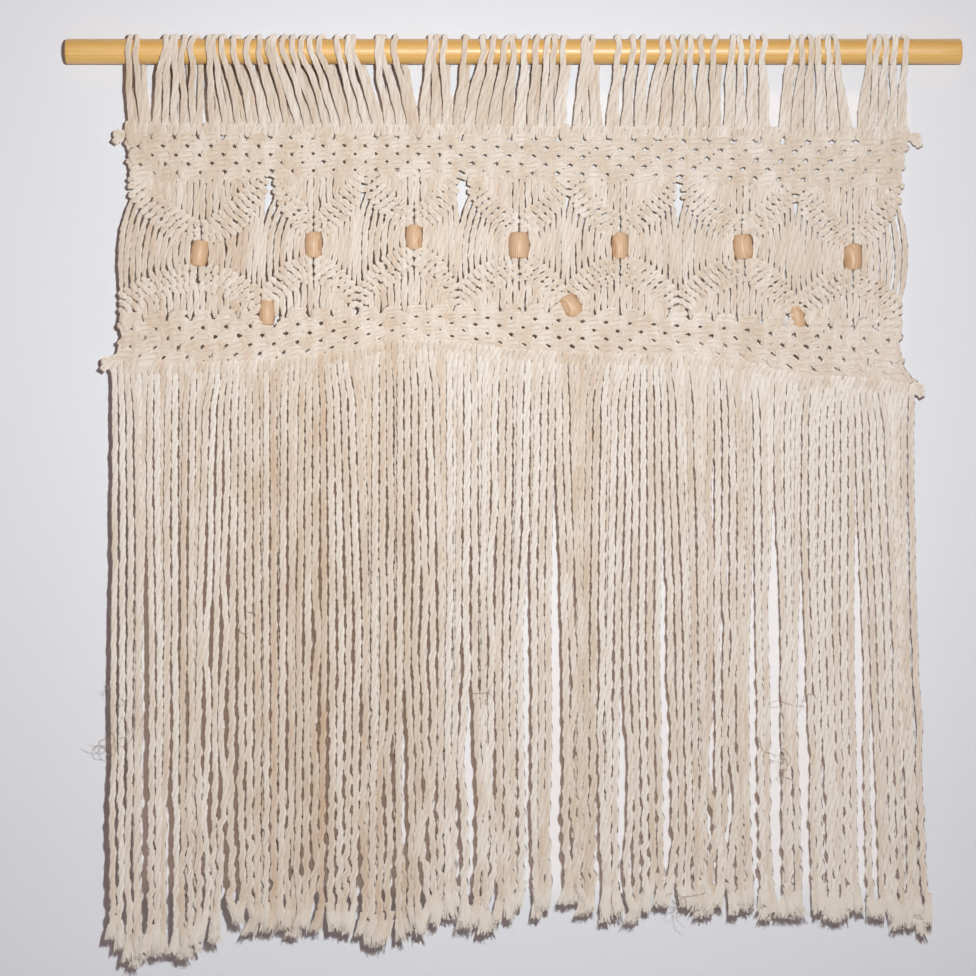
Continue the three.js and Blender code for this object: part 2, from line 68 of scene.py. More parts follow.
def srgb(red, green, blue):
    """Linear colour of a screen colour whose channels run from 0 to 255."""
    channels = np.array([red, green, blue]) / 255
    linear = np.where(channels <= 0.04045, channels / 12.92, ((channels + 0.055) / 1.055) ** 2.4)
    return (*linear, 1.0)


def tube_faces(tubes, rings, sides, closed=False):
    """Corners and sizes of the faces of tubes, each a run of rings of points, with capped ends."""
    tube, ring, side = np.meshgrid(
        np.arange(tubes), np.arange(rings if closed else rings - 1), np.arange(sides), indexing="ij"
    )
    first = (tube * rings + ring) * sides
    second = (tube * rings + (ring + 1) % rings) * sides
    beside = (side + 1) % sides
    quads = np.stack([first + side, first + beside, second + beside, second + side], -1).reshape(-1, 4)
    if closed:
        return quads.ravel(), np.full(len(quads), 4)
    start = np.arange(tubes)[:, None] * rings * sides
    near_caps = start + np.arange(sides)[::-1]
    far_caps = start + (rings - 1) * sides + np.arange(sides)
    corners = np.concatenate([quads.ravel(), near_caps.ravel(), far_caps.ravel()])
    return corners, np.concatenate([np.full(len(quads), 4), np.full(2 * tubes, sides)])


def lathe(along, radii, sides, closed=False):
    """Rings of points about the X axis through a profile of places along it and radii."""
    angle = TURN * np.arange(sides) / sides
    shape = (len(along), sides)
    points = np.stack(
        [
            np.broadcast_to(np.asarray(along)[:, None], shape),
            np.asarray(radii)[:, None] * np.cos(angle),
            np.asarray(radii)[:, None] * np.sin(angle),
        ],
        -1,
    )
    corners, sizes = tube_faces(1, len(along), sides, closed)
    return {"points": points.reshape(-1, 3), "corners": corners, "sizes": sizes}


def add_piece(name, shape, material, slot, *nodes):
    """Mesh piece of a shape in millimetres, which rides on the curtain and stands for CAD nodes."""
    mesh = bpy.data.meshes.new(name)
    mesh.vertices.add(len(shape["points"]))
    mesh.vertices.foreach_set("co", (shape["points"] * MM).astype(np.float32).ravel())
    mesh.loops.add(len(shape["corners"]))
    mesh.loops.foreach_set("vertex_index", shape["corners"].astype(np.int32))
    mesh.polygons.add(len(shape["sizes"]))
    mesh.polygons.foreach_set("loop_start", (np.cumsum(shape["sizes"]) - shape["sizes"]).astype(np.int32))
    if "turns" in shape:
        layer = mesh.uv_layers.new(name="cord")
        layer.uv.foreach_set("vector", shape["turns"].astype(np.float32).ravel())
    if "tone" in shape:
        tone = mesh.attributes.new("tone", "FLOAT", "POINT")
        tone.data.foreach_set("value", shape["tone"].astype(np.float32))
    if "grain" in shape:
        grain = mesh.attributes.new("grain", "FLOAT_VECTOR", "POINT")
        grain.data.foreach_set("vector", shape["grain"].astype(np.float32).ravel())
    mesh.update(calc_edges=True)
    mesh.shade_smooth()
    mesh.materials.append(material)
    piece = bpy.data.objects.new(name, mesh)
    bpy.context.scene.collection.objects.link(piece)
    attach(piece, "root")
    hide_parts(*nodes)
    return piece


def add_node(tree, kind, inputs, **settings):
    """Shader node with its settings, and its inputs set to values or linked from other sockets."""
    node = tree.nodes.new("ShaderNode" + kind)
    for key, value in settings.items():
        setattr(node, key, value)
    for key, value in inputs.items():
        if isinstance(value, bpy.types.NodeSocket):
            tree.links.new(value, node.inputs[key])
        else:
            node.inputs[key].default_value = value
    return node


def mix_colour(tree, share, first, second, blend="MIX"):
    """Colour socket of a mix of two colours. The node keeps its colour sockets at 6, 7 and 2."""
    node = add_node(
        tree, "Mix", {0: share, 6: first, 7: second}, data_type="RGBA", blend_type=blend
    )
    return node.outputs[2]


def reach(tree, value, low, high, to_low=0.0, to_high=1.0):
    """Value socket that goes smoothly from one value to another while the input crosses a range."""
    node = add_node(
        tree,
        "MapRange",
        {"Value": value, "From Min": low, "From Max": high, "To Min": to_low, "To Max": to_high},
        interpolation_type="SMOOTHSTEP",
    )
    return node.outputs["Result"]


def new_group(name, inputs, outputs):
    """Empty shader node group with named sockets, given as (socket type, name) pairs."""
    group = bpy.data.node_groups.new(name, "ShaderNodeTree")
    for kind, label in inputs:
        group.interface.new_socket(label, in_out="INPUT", socket_type="NodeSocket" + kind)
    for kind, label in outputs:
        group.interface.new_socket(label, in_out="OUTPUT", socket_type="NodeSocket" + kind)
    return group, group.nodes.new("NodeGroupInput"), group.nodes.new("NodeGroupOutput")


def new_material(name):
    """Material with an empty node tree."""
    material = bpy.data.materials.new(name)
    material.use_nodes = True
    material.node_tree.nodes.clear()
    return material, material.node_tree


def use_group(tree, group, inputs):
    """Places a node group in a material."""
    node = tree.nodes.new("ShaderNodeGroup")
    node.node_tree = group
    for key, value in inputs.items():
        node.inputs[key].default_value = value
    return node


def noise(tree, vector, scale, detail):
    """Value socket of cloudy noise."""
    node = add_node(tree, "TexNoise", {"Vector": vector, "Scale": scale, "Detail": detail})
    return node.outputs["Fac"]


def stretched(tree, vector, factors):
    """Vector socket of places multiplied along each axis."""
    node = add_node(tree, "VectorMath", {0: vector, 1: factors}, operation="MULTIPLY")
    return node.outputs["Vector"]


def add_surface(tree, inputs, relief, strength, depth):
    """Principled surface of a material, with a relief that is at most so deep, in metres."""
    bump = add_node(tree, "Bump", {"Height": relief, "Strength": strength, "Distance": depth})
    surface = add_node(tree, "BsdfPrincipled", {**inputs, "Normal": bump.outputs["Normal"]})
    add_node(tree, "OutputMaterial", {"Surface": surface.outputs["BSDF"]})


# Growth rings and fibres of pale wood, read from each piece's own grain places, in millimetres from
# the heart of the tree, with the fibres along Z.
wood_grain, wood_in, wood_out = new_group(
    "wood_grain",
    [("Color", "Early Wood"), ("Color", "Late Wood"), ("Color", "Fibre"), ("Float", "Ring Scale")],
    [("Color", "Color"), ("Float", "Height"), ("Float", "Roughness")],
)
grain_place = add_node(wood_grain, "Attribute", {}, attribute_name="grain").outputs["Vector"]
rings = add_node(
    wood_grain,
    "TexWave",
    {
        "Vector": grain_place,
        "Scale": wood_in.outputs["Ring Scale"],
        "Distortion": 1.6,
        "Detail": 2.0,
        "Detail Scale": 0.35,
    },
    wave_type="RINGS",
    rings_direction="Z",
    wave_profile="SAW",
)
late_wood = reach(wood_grain, rings.outputs["Fac"], *LATE_WOOD_EDGE)
fibres = noise(wood_grain, stretched(wood_grain, grain_place, FIBRE_STRETCH), 1.0, 4.0)
fibre_mark = reach(wood_grain, fibres, *FIBRE_EDGE)
ringed = mix_colour(wood_grain, late_wood, wood_in.outputs["Early Wood"], wood_in.outputs["Late Wood"])
fibre_share = reach(wood_grain, fibre_mark, 0, 1, 0, FIBRE_SHARE)
fibred = mix_colour(wood_grain, fibre_share, ringed, wood_in.outputs["Fibre"])
roughness = reach(wood_grain, fibre_mark, 0, 1, *WOOD_ROUGHNESS)
for label, socket in (("Color", fibred), ("Height", fibre_mark), ("Roughness", roughness)):
    wood_grain.links.new(socket, wood_out.inputs[label])


def turned_wood(name, colours, ring_width, relief, finish):
    """Material of wood turned on a lathe, with its grain's colours and the sockets that give its finish."""
    material, tree = new_material(name)
    grain = use_group(tree, wood_grain, {**colours, "Ring Scale": RING_TEXTURE_STEP / ring_width})
    inputs = {"Base Color": grain.outputs["Color"], "Roughness": grain.outputs["Roughness"], **finish}
    add_surface(tree, inputs, grain.outputs["Height"], relief, WOOD_RELIEF_DEPTH)
    return material


varnished_dowel = turned_wood(
    "varnished_dowel",
    {"Early Wood": srgb(236, 191, 116), "Late Wood": srgb(228, 174, 95), "Fibre": srgb(216, 158, 84)},
    ROD_RING_WIDTH,
    ROD_RELIEF,
    {"Coat Weight": 0.18, "Coat Roughness": 0.3},
)

edge_turn = np.linspace(0, math.pi / 2, ROD_EDGE_STEPS)
edge_along = ROD_HALF - ROD_EDGE_ROUND * (1 - np.sin(edge_turn))
edge_radius = ROD_RADIUS - ROD_EDGE_ROUND * (1 - np.cos(edge_turn))
middle = np.linspace(-ROD_HALF + ROD_EDGE_ROUND, ROD_HALF - ROD_EDGE_ROUND, ROD_STRETCHES)[1:-1]
rod_shape = lathe(
    np.concatenate([-edge_along[::-1], middle, edge_along]),
    np.concatenate([edge_radius[::-1], np.full(len(middle), ROD_RADIUS), edge_radius]),
    ROD_SIDES,
)
rod_shape["grain"] = (rod_shape["points"] - ROD_PITH)[:, [1, 2, 0]]
add_piece("rod_dowel", rod_shape, varnished_dowel, "rod_wood", "rod")

# The loops: lengths of soft three-ply cotton cord, each folded in half over the rod, so that a front
# and a back leg run down together into the first row of knots. Groups of them lean sideways, because
# they are spread on the rod more loosely than they are tied below it.
PIECE_GAP = 0.3
STRANDS = 132
CORD_SIDES = 6
PLIES = 3
PLY_DEPTH = 0.06
LAY = 58
TWIST_STEP = 0.381
WAVE_PARTS = (1.0, 0.61, 0.37)
WAVE_STRETCH = (0.8, 1.25)
ROOT = 4
LOOP_COLUMNS = ("loops", "top_from", "top_to", "foot_from", "foot_to")
LOOP_GROUPS = [
    (2, -383, -375, -382, -371),
    (5, -350, -322, -358, -320),
    (3, -304, -290, -301, -274),
    (4, -278, -243, -262, -226),
    (6, -238, -193, -215, -169),
    (3, -177, -158, -158, -137),
    (3, -137, -120, -126, -102),
    (3, -85, -69, -91, -68),
    (1, -52, -52, -57, -57),
    (2, -32, -22, -46, -35),
    (4, -10, 22, -23, 17),
    (3, 33, 48, 28, 44),
    (3, 69, 78, 63, 80),
    (3, 106, 130, 96, 124),
    (6, 147, 199, 135, 199),
    (4, 217, 246, 213, 248),
    (6, 277, 322, 268, 330),
    (5, 354, 390, 347, 386),
]
LOOP_RADIUS = 3.5
LOOP_SIDES = 9
LOOP_SEAT = 2.2
LOOP_PRESSED = 0.72
LOOP_UNEVEN = 1.3
LOOP_THICKNESS = (0.95, 1.06)
LOOP_FULL = 1.06
LOOP_FILLING = 0.6
LOOP_STATION = 4.4
LOOP_SLACK = 0.5
LOOP_WANDER = 2.2
LOOP_WAVE = 70
LOOP_TONE = (0.02, 0.3)
LOOP_TAN = 2.2
BACK_LEG_SHIFT = 5.5
BACK_TOP_SHIFT = (0, 8)
LEG_STEPS = 15
LEG_EASE = 1.25
ARC_STEPS = 14
FOOT_DEPTH = 2.6
EDGE_DROPS = (76, 130, 180, 235, 285)
LEFT_EDGE = (-388, -383, -393, -399, -392)
RIGHT_EDGE = (396, 387, 400, 397, 386)
TOP_ROW_LEFT_DROP = 70
TOP_ROW_RIGHT_DROP = 76
TAN_ON_LEFT = 0.1
BLEACHED_COLOUR = srgb(236, 228, 219)
NATURAL_COLOUR = srgb(222, 206, 189)
TAN_COLOUR = srgb(205, 170, 134)
NATURAL_TONE = 0.45
BLOTCH_STRETCH = (90.0, 90.0, 22.0)
BLOTCH_EDGE = (0.3, 0.7)
BLOTCH_TONE = 0.14
FLECK_COLOUR = srgb(176, 138, 100)
FLECK_SCALE = 900.0
FLECK_EDGE = (0.66, 0.8)
FLECK_SHARE = 0.35
YARNS_AROUND = 9
YARN_PITCH = 2.1
YARN_RELIEF = 0.35
FUZZ_SCALE = 1400.0
# Painted shade in the grooves between plies: its colour, the edge of its mask and its greatest share.
GROOVE_SHADE_COLOUR = srgb(184, 154, 126)
GROOVE_SHADE_EDGE = (-0.2, -1.0)
GROOVE_SHADE_SHARE = 0.21
CORD_RELIEF = 0.6
CORD_RELIEF_DEPTH = 0.0003
loop_draw = np.random.default_rng(5)


def table(columns, rows):
    """Rows of a table as dictionaries by the names of its columns."""
    return [dict(zip(columns, row)) for row in rows]


def panel_x(share, drop):
    """Place across the knotted panel, from 0 at its left edge to 1 at its right edge."""
    left = np.interp(drop, EDGE_DROPS, LEFT_EDGE)
    right = np.interp(drop, EDGE_DROPS, RIGHT_EDGE)
    return left + (right - left) * share


def top_row_top(share):
    """Drop of the upper edge of the first row of hitches."""
    return TOP_ROW_LEFT_DROP + (TOP_ROW_RIGHT_DROP - TOP_ROW_LEFT_DROP) * share


def tan_on_left(x):
    """How much darker the cotton has grown towards the left side of the curtain."""
    return TAN_ON_LEFT * np.clip((RIGHT_EDGE[0] - x) / (RIGHT_EDGE[0] - LEFT_EDGE[0]), 0, 1)


def twisted(
    paths, radius, across, tone, sides=CORD_SIDES, closed=False, plump=PLY_DEPTH, lay=LAY, start=None
):
    """Twisted cords along many paths with equal numbers of stations. No path runs along across.

    Points turn with the twist of an open cord. On a closed ring they stay and the plies turn, by two
    thirds of a turn in all, so that the plies meet. Plump is how far the plies stand out.
    """
    paths = np.asarray(paths, float)
    cords, stations = paths.shape[:2]
    if closed:
        ahead = np.roll(paths, -1, 1) - np.roll(paths, 1, 1)
    else:
        ahead = np.gradient(paths, axis=1)
    ahead /= np.linalg.norm(ahead, axis=2, keepdims=True)
    beside = np.cross(ahead, across)
    beside /= np.linalg.norm(beside, axis=2, keepdims=True)
    outward = np.cross(ahead, beside)
    lengths = np.linalg.norm(np.diff(paths, axis=1), axis=2)
    along = np.concatenate([np.zeros((cords, 1)), np.cumsum(lengths, 1)], 1)
    around = np.arange(sides) / sides
    start = (np.arange(cords) * TWIST_STEP)[:, None] if start is None else start
    twist = np.arange(stations) / stations * 2 / PLIES + start if closed else along / lay + start
    turn = TURN * (around + (0 * twist if closed else twist)[..., None])[..., None]
    ply = around - (twist if closed else 0 * twist)[..., None]
    lobes = 1 + np.broadcast_to(plump, (cords, stations))[..., None] * np.cos(TURN * PLIES * ply)
    thick = np.broadcast_to(radius, (cords, stations))[..., None] * lobes
    ring = np.cos(turn) * beside[:, :, None] + np.sin(turn) * outward[:, :, None]
    points = paths[:, :, None] + thick[..., None] * ring
    corners, sizes = tube_faces(cords, stations, sides, closed)
    last = stations if closed else stations - 1
    ply_far = np.concatenate([ply[:, 1:], ply[:, :1] - 2 / PLIES], 1)
    far = np.concatenate([along[:, 1:], along[:, -1:] + lengths.mean(1)[:, None]], 1)
    square = np.empty((cords, last, sides, 4, 2))
    square[..., 0, 0] = ply[:, :last]
    square[..., 1, 0] = ply[:, :last] + 1 / sides
    square[..., 2, 0] = ply_far[:, :last] + 1 / sides
    square[..., 3, 0] = ply_far[:, :last]
    square[..., [0, 1], 1] = along[:, :last, None, None]
    square[..., [2, 3], 1] = far[:, :last, None, None]
    turns = np.zeros((len(corners), 2))
    turns[: square.size // 2] = square.reshape(-1, 2)
    shade = np.broadcast_to(np.asarray(tone, float).reshape(cords, -1), (cords, stations))
    return {
        "points": points.reshape(-1, 3),
        "corners": corners,
        "sizes": sizes,
        "turns": turns,
        "tone": np.repeat(shade.reshape(-1), sides),
    }


def merged(shapes):
    """One shape of many."""
    shift = np.cumsum([0] + [len(shape["points"]) for shape in shapes])
    whole = {key: np.concatenate([shape[key] for shape in shapes]) for key in shapes[0] if key != "corners"}
    whole["corners"] = np.concatenate([shape["corners"] + shift[i] for i, shape in enumerate(shapes)])
    return whole


def wander(draw, along, cords, size, wavelength):
    """Slow sideways wandering of each cord: a few waves of random phase, each shorter than the last."""
    total = 0
    for part in WAVE_PARTS:
        phase = draw.uniform(0, TURN, (cords, 1))
        stretch = draw.uniform(*WAVE_STRETCH, (cords, 1))
        total = total + part * np.sin(TURN * along / (wavelength * part * stretch) + phase)
    return size * total / 2


def calc(tree, operation, *values):
    """Value socket of a sum, a product or a function of values."""
    node = add_node(tree, "Math", dict(enumerate(values)), operation=operation)
    return node.outputs["Value"]


# Undyed cotton. The tone of each cord runs from bleached to tan, and blotches and faint flecks of seed
# husk lie over it, in places read from the curtain itself.
cotton_tone, _, cotton_out = new_group("cotton_tone", [], [("Color", "Color")])
cord_tone = add_node(cotton_tone, "Attribute", {}, attribute_name="tone").outputs["Fac"]
cotton_place = add_node(cotton_tone, "TexCoord", {}).outputs["Object"]
blotches = noise(cotton_tone, stretched(cotton_tone, cotton_place, BLOTCH_STRETCH), 1.0, 3.0)
blotch = reach(cotton_tone, blotches, *BLOTCH_EDGE, -BLOTCH_TONE, BLOTCH_TONE)
toned = add_node(cotton_tone, "Math", {0: cord_tone, 1: blotch}, operation="ADD", use_clamp=True)
ramp = add_node(cotton_tone, "ValToRGB", {"Fac": toned.outputs["Value"]})
ramp.color_ramp.elements[0].color = BLEACHED_COLOUR
ramp.color_ramp.elements[1].color = TAN_COLOUR
ramp.color_ramp.elements.new(NATURAL_TONE).color = NATURAL_COLOUR
flecks = noise(cotton_tone, cotton_place, FLECK_SCALE, 2.0)
fleck_share = reach(cotton_tone, flecks, *FLECK_EDGE, 0.0, FLECK_SHARE)
flecked = mix_colour(cotton_tone, fleck_share, ramp.outputs["Color"], FLECK_COLOUR)
cotton_tone.links.new(flecked, cotton_out.inputs["Color"])

# Twisted cord: a ply's yarns lie slantwise to it, and the grooves between plies get painted shade, a darker
# colour that stands in for the shade falling in them.
cotton_cord, tree = new_material("cotton_cord")
cord_colour = use_group(tree, cotton_tone, {}).outputs["Color"]
cord_place = add_node(tree, "UVMap", {}, uv_map="cord").outputs["UV"]
cord_turn = add_node(tree, "SeparateXYZ", {"Vector": cord_place})
ply_wave = calc(tree, "COSINE", calc(tree, "MULTIPLY", cord_turn.outputs["X"], TURN * PLIES))
# Painted shade: the mask of the grooves between plies, where the darker colour stands in for shade.
groove_shade_mask = reach(tree, ply_wave, *GROOVE_SHADE_EDGE)
yarn_turn = calc(tree, "MULTIPLY", cord_turn.outputs["X"], TURN * YARNS_AROUND)
yarn_slant = calc(tree, "MULTIPLY_ADD", cord_turn.outputs["Y"], TURN / YARN_PITCH, yarn_turn)
fuzz_place = add_node(tree, "TexCoord", {}).outputs["Object"]
fuzz = noise(tree, fuzz_place, FUZZ_SCALE, 2.0)
yarn_height = calc(tree, "MULTIPLY_ADD", calc(tree, "SINE", yarn_slant), YARN_RELIEF, fuzz)
groove_shade_share = reach(tree, groove_shade_mask, 0, 1, 0, GROOVE_SHADE_SHARE)
cord_finish = {
    "Base Color": mix_colour(tree, groove_shade_share, cord_colour, GROOVE_SHADE_COLOUR),
    "Roughness": 0.92,
    "Diffuse Roughness": 1.0,
    "Specular IOR Level": 0.15,
    "Sheen Weight": 0.12,
    "Sheen Roughness": 0.5,
}
add_surface(tree, cord_finish, yarn_height, CORD_RELIEF, CORD_RELIEF_DEPTH)


def loop_path(top_x, back_top_x, foot_x):
    """Line of one cord from its front foot over the rod to its back foot."""
    share = (foot_x - LEFT_EDGE[0]) / (RIGHT_EDGE[0] - LEFT_EDGE[0])
    foot_drop = top_row_top(share) + ROOT
    radius = ROD_RADIUS + PIECE_GAP + LOOP_SEAT
    foot_angle = math.atan2(-foot_drop, -FOOT_DEPTH)
    front_angle = TURN + foot_angle - math.acos(radius / math.hypot(foot_drop, FOOT_DEPTH))
    arc = np.linspace(front_angle, math.pi - front_angle, ARC_STEPS)
    step = np.linspace(0, 1, LEG_STEPS, endpoint=False)
    eased = step**LEG_EASE
    leg_y = -FOOT_DEPTH + (radius * math.cos(front_angle) + FOOT_DEPTH) * step
    leg_z = -foot_drop + (radius * math.sin(front_angle) + foot_drop) * step
    front = np.stack([foot_x + (top_x - foot_x) * eased, leg_y, leg_z], 1)
    over_x = np.linspace(top_x, back_top_x, ARC_STEPS)
    over = np.stack([over_x, radius * np.cos(arc), radius * np.sin(arc)], 1)
    back_x = foot_x + BACK_LEG_SHIFT
    back = np.stack([back_x + (back_top_x - back_x) * eased, -leg_y, leg_z], 1)[::-1]
    return np.concatenate([front, over, back])


loop_paths = []
for group in table(LOOP_COLUMNS, LOOP_GROUPS):
    tops = np.linspace(group["top_from"], group["top_to"], group["loops"])
    tops += loop_draw.normal(0, LOOP_UNEVEN, len(tops))
    feet = np.linspace(group["foot_from"], group["foot_to"], group["loops"])
    back_tops = tops + loop_draw.uniform(*BACK_TOP_SHIFT, len(tops))
    loop_paths += [loop_path(*places) for places in zip(tops, back_tops, feet)]
loop_paths = np.array(loop_paths)
loop_stations = np.arange(loop_paths.shape[1]) * LOOP_STATION
loop_slack = np.sin(np.linspace(0, math.pi, loop_paths.shape[1])) ** LOOP_SLACK
loop_paths[:, :, 0] += wander(loop_draw, loop_stations, len(loop_paths), LOOP_WANDER, LOOP_WAVE) * loop_slack
loop_filling = np.abs(np.linspace(-1, 1, loop_paths.shape[1])) ** LOOP_FILLING
loop_thick = LOOP_RADIUS * loop_draw.uniform(*LOOP_THICKNESS, (len(loop_paths), 1))
loop_thick = loop_thick * (LOOP_PRESSED + (LOOP_FULL - LOOP_PRESSED) * loop_filling)
loop_tone = loop_draw.uniform(*LOOP_TONE, len(loop_paths)) + LOOP_TAN * tan_on_left(loop_paths[:, 0, 0])
loops = twisted(loop_paths, loop_thick, (1, 0, 0), loop_tone, sides=LOOP_SIDES)
add_piece("rod_loops", loops, cotton_cord, "cotton_cord", "heading")

# The top row: double half hitches, each strand of the loops wrapped around a holding cord that runs
# straight across under the rod. Only the wraps show, and a tail of the holding cord is knotted at each end.
ROW_HEIGHT = 14
HITCH_RADIUS = 3.15
HITCH_STATIONS = 14
RING_SIDES = 7
HITCH_INSET = 2.4
HITCH_HALF_HEIGHT = ROW_HEIGHT / 2 - HITCH_INSET
HITCH_HALF_DEPTH = 3.7
HITCH_HEIGHTS = (0.86, 1.1)
HITCH_DEPTHS = (0.9, 1.08)
HITCH_THICKNESS = (0.9, 1.07)
HITCH_SLANT = 0.1
HITCH_UNEVEN_SLANT = 0.16
HITCH_UNEVEN_X = 0.25
HITCH_UNEVEN_DROP = 0.4
TOP_HITCH_TONE = (0.1, 0.36)
ROW_CORD_RADIUS = HITCH_HALF_HEIGHT - 0.6
ROW_CORD_TONE = 0.5
END_KNOT_SIZE = 1.25
END_KNOT_DEPTH = 1.1
END_KNOT_RADIUS = 3.6
END_KNOT_ACROSS = (0.2, 1, 0.1)
END_KNOT_STATIONS = 30
END_KNOT_TONE = 0.25
END_TAIL = (4.8, -1.5, -8.0)
END_TAIL_STATIONS = 6
TOP_LEFT_KNOT = (LEFT_EDGE[0] - 6, TOP_ROW_LEFT_DROP + ROW_HEIGHT)
TOP_RIGHT_KNOT = (RIGHT_EDGE[0] + 6, TOP_ROW_RIGHT_DROP + ROW_HEIGHT * 0.8)
row_draw = np.random.default_rng(8)


def wraps(draw, centres, holding, half_height, half_depth, radius, tone, slant):
    """Hitches, each one closed ring of cord around a holding cord that runs along a direction."""
    count = len(centres)
    across = np.broadcast_to(holding, (count, 3))
    upward = np.cross(across, (0, 1, 0))
    upward *= np.sign(upward[:, 2:])
    angle = TURN * np.arange(HITCH_STATIONS) / HITCH_STATIONS
    high = half_height * draw.uniform(*HITCH_HEIGHTS, (count, 1, 1)) * np.cos(angle)[None, :, None]
    deep = half_depth * draw.uniform(*HITCH_DEPTHS, (count, 1)) * np.sin(angle)
    lean = draw.normal(slant, HITCH_UNEVEN_SLANT, (count, 1, 1)) * high
    paths = centres[:, None] + high * upward[:, None] + lean * across[:, None]
    paths[:, :, 1] -= deep
    thick = radius * draw.uniform(*HITCH_THICKNESS, (count, 1))
    return twisted(paths, thick, across[:, None], tone, sides=RING_SIDES, closed=True)


def end_knot(x, drop):
    """Overhand knot pulled tight in the end of a holding cord, with its cut tail hanging outwards."""
    angle = TURN * np.arange(END_KNOT_STATIONS) / END_KNOT_STATIONS
    knot = np.stack(
        [
            np.sin(angle) + 2 * np.sin(2 * angle),
            -END_KNOT_DEPTH * np.sin(3 * angle),
            np.cos(angle) - 2 * np.cos(2 * angle),
        ],
        1,
    )
    tone = [END_KNOT_TONE]
    middle = np.array([x, 0, -drop])
    paths = middle + END_KNOT_SIZE * knot[None]
    knotted = twisted(paths, END_KNOT_RADIUS, END_KNOT_ACROSS, tone, sides=LOOP_SIDES, closed=True)
    step = np.linspace(0, 1, END_TAIL_STATIONS)[:, None]
    tail = middle + step * np.array(END_TAIL) * (np.sign(x), 1, 1)
    return merged([knotted, twisted(tail[None], END_KNOT_RADIUS, (0, 1, 0), tone)])


def hitch_row(draw, places, holding, tone, left_knot, right_knot):
    """Row of hitches around its holding cord, with a knot at each end, given by its x and drop."""
    hitches = wraps(
        draw, places, holding, HITCH_HALF_HEIGHT, HITCH_HALF_DEPTH, HITCH_RADIUS, tone, HITCH_SLANT
    )
    cord = twisted(places[None], ROW_CORD_RADIUS, (0, 1, 0), [ROW_CORD_TONE])
    return merged([hitches, cord, end_knot(*left_knot), end_knot(*right_knot)])


strand_share = (np.arange(STRANDS) + 0.5) / STRANDS
hitch_x = panel_x(strand_share, EDGE_DROPS[0]) + row_draw.normal(0, HITCH_UNEVEN_X, STRANDS)
hitch_drop = top_row_top(strand_share) + ROW_HEIGHT / 2 + row_draw.normal(0, HITCH_UNEVEN_DROP, STRANDS)
hitch_places = np.stack([hitch_x, 0 * hitch_x, -hitch_drop], 1)
hitch_tone = row_draw.uniform(*TOP_HITCH_TONE, STRANDS) + tan_on_left(hitch_x)
top_row = hitch_row(row_draw, hitch_places, (1, 0, 0), hitch_tone, TOP_LEFT_KNOT, TOP_RIGHT_KNOT)
add_piece("top_row_of_hitches", top_row, cotton_cord, "cotton_cord", "heading")

# The upper net: alternating square knots of four strands each. The two outer strands tie around the two
# inner ones, and in every second row the pairs of neighbouring knots are tied together.
KNOTS_ACROSS = 33
KNOT_PITCH = 23.6
KNOT_LINE = 9.2
UPPER_NET_ROWS = 5
UPPER_NET_LAP = 3
UPPER_NET_X = (-383, -143, 107, 297)
UPPER_NET_BOTTOMS = (127, 122, 128, 133)
NET_SHARES = (-1, 0, 0.18, 0.455, 0.545, 0.79, 1, 2)
NET_DRAWN_IN = (-1, 0, 0.182, 0.428, 0.521, 0.78, 1, 2)
NET_PARTINGS = table(("x", "width"), [(-243, 8), (-53, 11), (165, 9)])
PARTING_LINE = 4.1
PARTING_REACH = 14
KNOT_RADIUS = 2.6
KNOT_THICKNESS = (0.93, 1.06)
KNOT_SIZES = (0.93, 1.08)
KNOT_UNEVEN_LINE = 0.03
KNOT_TONE = (0.15, 0.38)
RING_STATIONS = 14
KNOT_HALF_WIDTH = 7.2
KNOT_HALF_DEPTH = 3.3
KNOT_BAR_RISE = 2.7
KNOT_BAR_TILT = 2.6
KNOT_BAR_TILTS = (0.4, 1.4)
SIDE_LOOP_LINE = [(-3.6, 1.2, 6.0), (-6.4, 3.4, 4.0), (-7.6, 4.2, 0.0), (-6.4, 3.4, -4.0), (-3.6, 1.2, -6.0)]
SIDE_LOOP_THINNER = 0.93
EDGE_FULLNESS = 0.28
EDGE_REACH = 0.05
EDGE_STRANDS = (0.1, 0.3, KNOTS_ACROSS - 0.3, KNOTS_ACROSS - 0.1)
EDGE_STATIONS = 6
EDGE_SWING = 0.8
EDGE_TONE = (0.2, 0.4)
PAIR_LINE = [(-1.6, 0.4, -1.4), (-4.0, 1.4, -3.2), (-6.4, 1.5, -5.0), (-8.6, 0.8, -6.8), (-10.6, -0.6, -8.4)]
PAIR_APART = (2.3, 0, -1.8)
FILLER_LINE = [(-2.9, 0.6, 7.5), (-2.9, 1.4, 3.5), (-2.9, 1.6, 0.0), (-2.9, 1.4, -3.5), (-2.9, 0.6, -7.5)]
net_draw = np.random.default_rng(13)


def upper_net_bottom(x):
    """Drop of the lower edge of the upper net."""
    return np.interp(x, UPPER_NET_X, UPPER_NET_BOTTOMS)


def upper_net_place(share, line):
    """Place in the upper net, by the share across it and the number of lines of knots down it."""
    share = np.interp(share, NET_SHARES, NET_DRAWN_IN)
    top = top_row_top(share) + ROW_HEIGHT - UPPER_NET_LAP
    bottom = upper_net_bottom(panel_x(share, top))
    drop = top + (bottom - top) * line / UPPER_NET_ROWS
    x = panel_x(share, drop)
    opening = np.clip((line - PARTING_LINE) / (UPPER_NET_ROWS - PARTING_LINE), 0, 1)
    for parting in NET_PARTINGS:
        aside = x - parting["x"]
        push = opening * np.exp(-((aside / PARTING_REACH) ** 2))
        x = x + np.sign(aside) * parting["width"] / 2 * push
    return x, drop


def net_paths(place, share, line, strokes):
    """Paths of strokes drawn about each knot, in millimetres across, forward and up, set into the net."""
    across = strokes[..., 0] / KNOT_PITCH / KNOTS_ACROSS
    x, drop = place(share + across, line - strokes[..., 2] / KNOT_LINE)
    return np.stack([x, -strokes[..., 1], -drop], -1)


